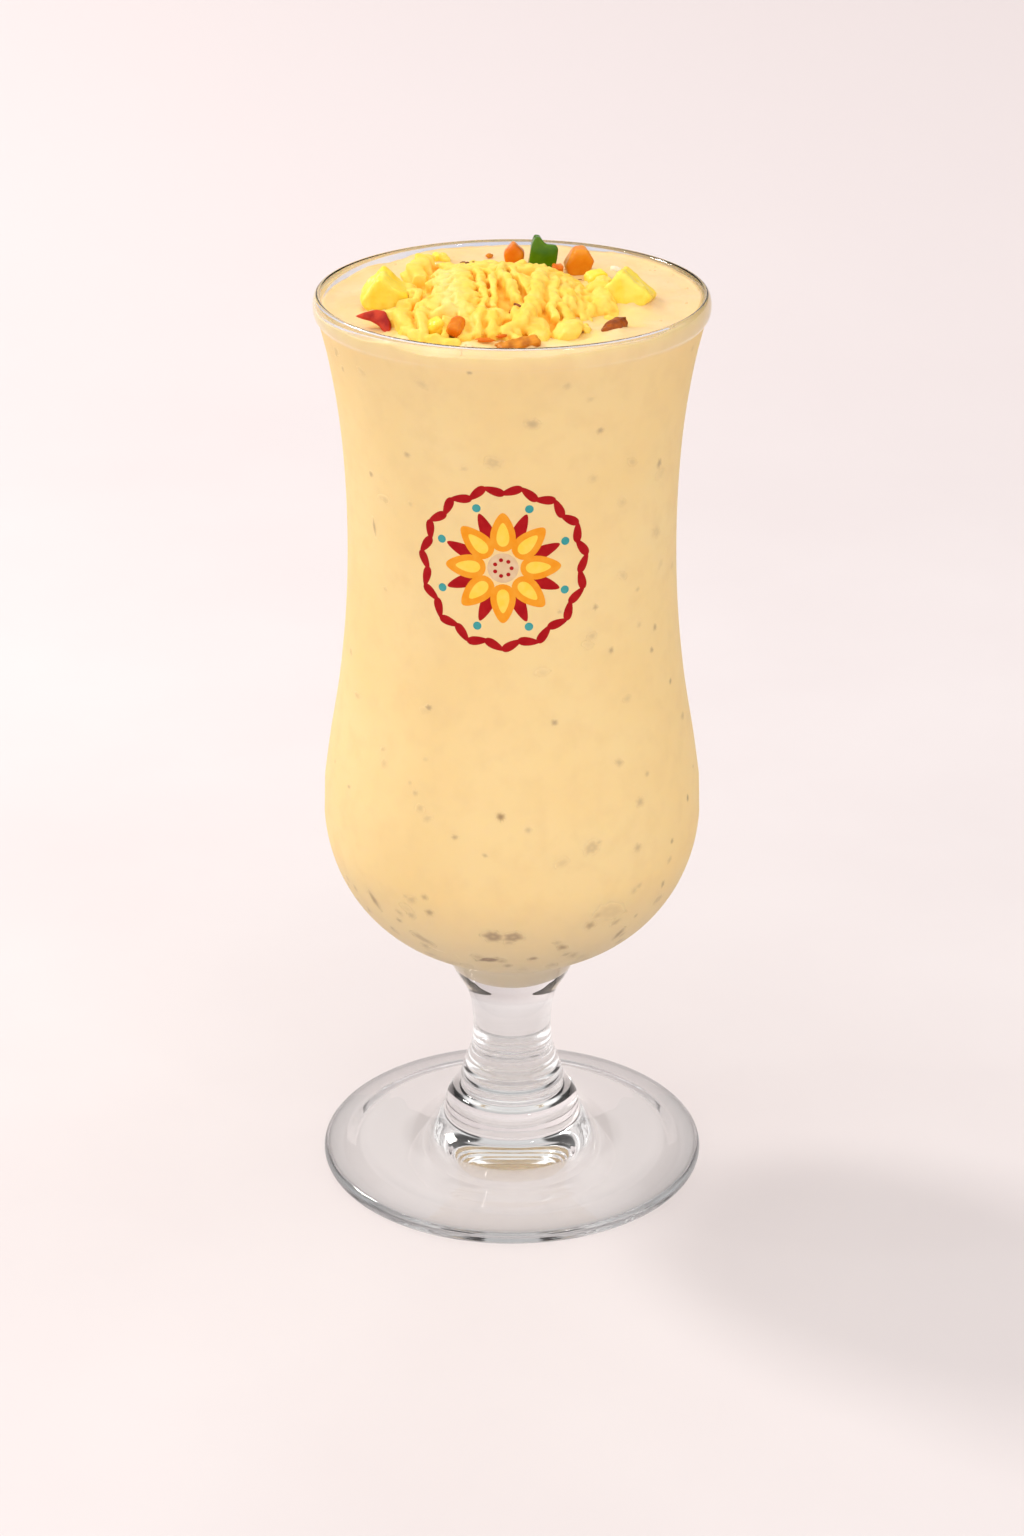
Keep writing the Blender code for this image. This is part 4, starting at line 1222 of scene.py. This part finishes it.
class Bodies:
    """Closed bodies gathered in one mesh."""

    def __init__(self):
        self.points = []
        self.faces = []

    def loft(self, rings):
        """A closed body through rings of equally many points."""
        start = len(self.points)
        count = len(rings[0])
        for ring in rings:
            self.points += ring
        for i in range(len(rings) - 1):
            for k in range(count):
                j = (k + 1) % count
                near = start + i * count
                self.faces.append((near + k, near + count + k, near + count + j, near + j))
        self.faces.append(tuple(range(start, start + count)))
        end = start + (len(rings) - 1) * count
        self.faces.append(tuple(range(end + count - 1, end - 1, -1)))

    def ball(self, centre, radii, draw, uneven=0.18, sides=8):
        """A rough ball."""
        rings = []
        for i in range(1, BALL_ROWS):
            polar = math.pi * i / BALL_ROWS
            ring = []
            for k in range(sides):
                turn = 2 * math.pi * k / sides
                reach = 1 + draw.uniform(-uneven, uneven)
                ring.append((centre[0] + reach * radii[0] * math.sin(polar) * math.cos(turn),
                             centre[1] + reach * radii[1] * math.sin(polar) * math.sin(turn),
                             centre[2] + reach * radii[2] * math.cos(polar)))
            rings.append(ring)
        self.loft(rings)


def torn(kind, seed, section):
    """How much is torn away from a flake's width, height, place or outline at one of its sections."""
    share, waves, layer = kind
    return share * noise.noise(Vector((seed, section * waves, layer)))


def places_along(route, lift):
    """Evenly spaced places on the dome along a route."""
    line = smooth_line(route, steps=12)
    lengths = [0.0]
    for near, far in zip(line, line[1:]):
        lengths.append(lengths[-1] + math.dist(near, far))
    places = []
    stations = max(4, int(lengths[-1] / FLAKE_STEP))
    for i in range(stations + 1):
        x, y = (float(np.interp(lengths[-1] * i / stations, lengths, [p[axis] for p in line]))
                for axis in range(2))
        places.append(Vector((x, y, LEVEL + heap_rise(x, y) - FLAKE_DROP + lift)))
    return places


def add_flake(bodies, route, width, height, draw, lift=0.0):
    """A ragged band of scraped ice cream that lies on the dome along a route."""
    places = places_along(route, lift)
    last = len(places) - 1
    lean = draw.uniform(-FLAKE_LEAN, FLAKE_LEAN)
    seed = draw.uniform(0.0, 100.0)
    start, span, blunt = FLAKE_ENDS
    rings = []
    for i, place in enumerate(places):
        ahead = (places[min(i + 1, last)] - places[max(i - 1, 0)]).normalized()
        across = ahead.cross(UP).normalized()
        ends = math.sin(math.pi * (start + span * i / last)) ** blunt
        wide = width * ends * (FLAKE_WIDTH + torn(TORN_WIDTH, seed, i))
        high = height * ends * (1 + torn(TORN_HEIGHT, seed, i))
        shift = width * torn(TORN_PLACE, seed, i)
        ring = [tuple(place + across * (shift + side * wide) - UP * SKIRT) for side in (-0.5, 0.5)]
        for side, rise in FLAKE_SECTION:
            whole = 1 + torn(TORN_OUTLINE, seed + 3 * side, i)
            ring.append(tuple(place + across * (wide * whole * (side + lean * rise) + shift)
                              + UP * (high * whole * rise)))
        rings.append(ring)
    bodies.loft(rings)


def add_core(bodies, centre, half_width, half_depth):
    """The solid middle of the dome or of a mound."""
    rings = []
    for i in range(1, CORE_ROWS):
        polar = math.pi * i / CORE_ROWS
        ring = []
        for k in range(CORE_COLUMNS):
            turn = 2 * math.pi * k / CORE_COLUMNS
            x = centre[0] + half_width * CORE_INSET * math.sin(polar) * math.cos(turn)
            y = centre[1] + half_depth * CORE_INSET * math.sin(polar) * math.sin(turn)
            rise = heap_rise(x, y) if 2 * i < CORE_ROWS else HEAP_SINK * math.cos(polar)
            ring.append((x, y, LEVEL + rise - CORE_DROP))
        rings.append(ring)
    bodies.loft(rings)


def add_back_flakes(bodies, draw):
    """Broad flakes round the far side, which the camera doesn't see."""
    depth = HEAP_HALF_DEPTH + HEAP_CENTRE[1] - BACK_START
    stray, bend = BACK_STRAY
    for i in range(BACK_FLAKES):
        degrees = -BACK_TURN + 2 * BACK_TURN * i / (BACK_FLAKES - 1) + draw.uniform(-stray, stray)
        route = []
        for out in (*BACK_STEPS, draw.uniform(*BACK_ENDS)):
            turn = math.radians(degrees) + draw.uniform(-bend, bend)
            route.append((HEAP_CENTRE[0] + HEAP_HALF_WIDTH * out * math.sin(turn),
                          BACK_START + depth * out * math.cos(turn)))
        add_flake(bodies, route, draw.uniform(*BACK_WIDTHS), draw.uniform(*BACK_HEIGHTS), draw)


def heap_place(draw, reach):
    """A random place on the dome or on one of its mounds."""
    a, b, wide, deep = (*HEAP_CENTRE, HEAP_HALF_WIDTH, HEAP_HALF_DEPTH)
    if draw.random() < MOUND_SHARE:
        a, b, wide, deep, _ = draw.choice(MOUNDS)
    turn = draw.uniform(0.0, 2 * math.pi)
    out = reach * math.sqrt(draw.uniform(0.0, 1.0))
    return a + wide * out * math.cos(turn), b + deep * out * math.sin(turn)


def in_dip(x, y, share=1.0):
    return math.hypot(x - DIP_CENTRE[0], y - DIP_CENTRE[1]) < share * DIP_RADIUS


def down_slope(draw, x, y, fan, stray, lengths):
    """The end of a scrap that runs from a place down the slope, away from the ridge."""
    facing = -1.0 if y < RIDGE else 1.0
    turn = (x - HEAP_CENTRE[0]) / HEAP_HALF_WIDTH * fan + draw.uniform(-stray, stray)
    length = draw.uniform(*lengths)
    return x + length * math.sin(turn), y + facing * length * math.cos(turn)


def halfway(draw, x, y, end, bend):
    return (x + end[0]) / 2 + draw.uniform(-bend, bend), (y + end[1]) / 2


def add_scrap(bodies, draw, route, widths, heights, lifts):
    add_flake(bodies, route, draw.uniform(*widths), draw.uniform(*heights), draw, draw.uniform(*lifts))


def add_fine_flakes(bodies, draw):
    """Short scraps between the large flakes, running down the slope from the ridge."""
    for _ in range(FINE_FLAKES):
        x, y = heap_place(draw, FINE_REACH)
        if in_dip(x, y):
            continue
        end = down_slope(draw, x, y, *FINE_FAN, FINE_LENGTHS)
        middle = halfway(draw, x, y, end, FINE_BEND)
        if heap_distance(*end) < -FINE_EDGE:
            add_scrap(bodies, draw, ((x, y), middle, end), FINE_WIDTHS, FINE_HEIGHTS, FINE_LIFTS)


def add_chips(bodies, draw):
    """Broad torn chips that lie over the flakes."""
    for _ in range(CHIPS):
        x, y = heap_place(draw, CHIP_REACH)
        if in_dip(x, y, CHIP_DIP):
            continue
        end = down_slope(draw, x, y, *CHIP_FAN, CHIP_LENGTHS)
        if heap_distance(*end) < -CHIP_EDGE:
            middle = halfway(draw, x, y, end, CHIP_BEND)
            add_scrap(bodies, draw, ((x, y), middle, end), CHIP_WIDTHS, CHIP_HEIGHTS, CHIP_LIFTS)


def add_lumps(bodies, draw):
    """Torn lumps, mostly at the left of the heap and along its edge."""
    for _ in range(LUMPS):
        x, y = heap_place(draw, LUMP_REACH)
        if x > LUMPS_LEFT and heap_distance(x, y) < -LUMPS_EDGE:
            continue
        radius = draw.uniform(*LUMP_SIZES)
        centre = (x, y, LEVEL + heap_rise(x, y) - LUMP_SINK * radius)
        radii = (radius, radius * draw.uniform(*LUMP_LENGTHS), radius * LUMP_RISE)
        bodies.ball(centre, radii, draw)


def route_distances(points, route):
    """How far each point is from a route, seen from above."""
    flat = points[:, :2]
    best = np.full(len(flat), 1.0)
    for start, end in zip(route, route[1:]):
        start = np.array(start)
        way = np.array(end) - start
        share = np.clip((flat - start) @ way / (way @ way), 0.0, 1.0)
        best = np.minimum(best, np.linalg.norm(flat - start - share[:, None] * way, axis=1))
    return best


def make_heap(finish):
    draw = random.Random(SEED)
    bodies = Bodies()
    add_core(bodies, HEAP_CENTRE, HEAP_HALF_WIDTH, HEAP_HALF_DEPTH)
    for a, b, wide, deep, _ in MOUNDS:
        add_core(bodies, (a, b), wide, deep)
    for route, width, height, lift in FLAKES:
        add_flake(bodies, route, width, height, draw, lift)
    for route, width, height in RIBS:
        add_flake(bodies, route, width, height, draw)
    add_back_flakes(bodies, draw)
    add_fine_flakes(bodies, draw)
    add_chips(bodies, draw)
    add_lumps(bodies, draw)
    heap = new_object("mango_ice_cream_scraped", bodies.points, bodies.faces, finish)
    fuse(heap, HEAP_VOXEL, finish)
    mesh = heap.data
    for seed, (scale, reach) in enumerate(WARPS):
        warp(heap, scale, reach, seed)
    for seed, (scale, depth) in enumerate(CREASES):
        crease(heap, scale, depth, 1 + seed)
    move_points(mesh, relaxed(points_of(mesh), edges_of(mesh), rounds=1))
    # the hollow measure masks the painted shade in the heap's creases
    store_hollows(heap, HOLLOW_ROUNDS, HOLLOW_DEPTH)
    store(mesh, "cream", np.exp(-(route_distances(points_of(mesh), CREAM_ROUTE) / CREAM_WIDTH) ** 2))
    finish_piece(heap, "mango_ice_cream", "mango_ice_cream")


# Fruit and nuts

def dress(node_name, piece_name, slot, finish, voxel, rounds, waves):
    """A finely meshed piece in a node's own place: its corners softened and its skin rippled."""
    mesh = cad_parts[node_name].data.copy()
    piece = bpy.data.objects.new(piece_name, mesh)
    bpy.context.scene.collection.objects.link(piece)
    fuse(piece, voxel, finish)
    mesh = piece.data
    move_points(mesh, relaxed(points_of(mesh), edges_of(mesh), rounds))
    for seed, (scale, height) in enumerate(waves):
        swell(piece, scale, height, seed + len(node_name))
    store_hollows(piece, TOPPING_ROUNDS, TOPPING_DEPTH)
    mesh.shade_smooth()
    finish_piece(piece, slot, node_name)


def make_toppings():
    finishes = {name: fruit_material(name, pale, deep, scale, **more)
                for name, (pale, deep, scale, more) in FRUITS.items()}
    for names, ending, slot, fruit, voxel, rounds, waves in TOPPINGS:
        for name in names:
            dress(name, name + "_" + ending, slot, finishes[fruit], voxel, rounds, waves)
    make_scraps("raisin_scraps", "raisin", finishes["raisin"], DARK_SCRAPS)
    make_scraps("almond_scraps", "almond", finishes["almond"], BROWN_SCRAPS)
    make_scraps("papaya_scraps", "papaya", finishes["papaya"], ORANGE_SCRAPS)


def make_scraps(name, slot, finish, scraps):
    """Small scraps on the heap and on the drink."""
    draw = random.Random(len(name))
    bodies = Bodies()
    for *measures, turn in scraps:
        x, y, lift, length, width, height = metres(tuple(measures))
        z = LEVEL + heap_rise(x, y) + lift
        start = len(bodies.points)
        bodies.ball((0.0, 0.0, 0.0), (length / 2, width / 2, height / 2), draw, *SCRAP_FORM)
        angle = math.radians(turn)
        for i in range(start, len(bodies.points)):
            a, b, c = bodies.points[i]
            bodies.points[i] = (x + a * math.cos(angle) - b * math.sin(angle),
                                y + a * math.sin(angle) + b * math.cos(angle), z + c)
    finish_piece(new_object(name, bodies.points, bodies.faces, finish), slot)


# The room, the lights and the camera

def make_floor():
    """A pale floor that turns up smoothly into a low wall behind the glass."""
    outline = [(-FLOOR_REACH, 0.0), (FLOOR_TURN, 0.0)]
    start, steps = TURN_STEPS
    for angle in np.linspace(start, math.pi / 2, steps):
        place = (FLOOR_TURN + TURN_RADIUS * math.sin(angle), TURN_RADIUS - TURN_RADIUS * math.cos(angle))
        if place[1] < WALL_TOP:
            outline.append(place)
    points = [(x, y, z - FLOOR_GAP) for y, z in outline for x in (-FLOOR_REACH, FLOOR_REACH)]
    faces = [(2 * i, 2 * i + 1, 2 * i + 3, 2 * i + 2) for i in range(len(outline) - 1)]
    floor = new_object("floor", points, faces, floor_material())


def add_light(name, place, target, side, power, colour):
    data = bpy.data.lights.new(name, "AREA")
    data.shape = "RECTANGLE"
    data.size = side
    data.size_y = side
    data.energy = power
    data.color = colour
    light = bpy.data.objects.new(name, data)
    light.location = place
    aim = Vector(target) - Vector(place)
    light.rotation_euler = aim.to_track_quat("-Z", "Y").to_euler()
    bpy.context.scene.collection.objects.link(light)


def make_world():
    """Soft light from all round, strongest before the glass, and a dark room above the wall behind it."""
    world = bpy.data.worlds.new("studio")
    world.use_nodes = True
    tree = world.node_tree
    way = node(tree, "TexCoord").outputs["Generated"]
    facing = node(tree, "VectorMath")
    facing.operation = "DOT_PRODUCT"
    connect(tree, way, facing.inputs[0])
    facing.inputs[1].default_value = Vector(BRIGHT_SIDE).normalized()
    light = spread(tree, facing.outputs["Value"], -1.0, 1.0, (DIM_LIGHT, BRIGHT_LIGHT))
    x, y, z = node(tree, "SeparateXYZ", Vector=way).outputs
    light = times(tree, light, spread(tree, z, 0.0, HORIZON_TOP, (HORIZON_LIGHT, 1.0), soft=True))
    dark = spread(tree, y, *DARK_BACK, soft=True)
    dark = times(tree, dark, spread(tree, calculated(tree, "ABSOLUTE", x), *DARK_SIDE, soft=True))
    dark = times(tree, dark, spread(tree, z, *DARK_TOP[::-1], soft=True))
    light = times(tree, light, spread(tree, dark, 0.0, 1.0, (1.0, DARK_LIGHT)))
    background = tree.nodes["Background"]
    background.inputs["Color"].default_value = rgba(ROOM_COLOUR)
    connect(tree, light, background.inputs["Strength"])
    bpy.context.scene.world = world


def make_camera():
    data = bpy.data.cameras.new("camera")
    data.sensor_width = 36.0
    data.lens = CAMERA_LENS
    camera = bpy.data.objects.new("camera", data)
    camera.location = CAMERA_PLACE
    camera.rotation_euler = (math.pi / 2 - CAMERA_DOWN, 0.0, 0.0)
    bpy.context.scene.collection.objects.link(camera)
    bpy.context.scene.camera = camera


def main():
    scene = bpy.context.scene
    scene.view_settings.view_transform = "Standard"
    scene.cycles.max_bounces = LIGHT_BOUNCES
    scene.cycles.transmission_bounces = LIGHT_BOUNCES
    scene.cycles.glossy_bounces = LIGHT_BOUNCES
    make_camera()
    make_world()
    for light in LIGHTS:
        add_light(*light)
    make_floor()
    drink = drink_material()
    make_glass()
    make_badge()
    make_drink(drink)
    small = drink_material("drink_specks", glow=0.0, dimmed=0.025)
    make_seeds(small)
    make_bubbles(small)
    make_heap(ice_cream_material())
    make_toppings()


main()
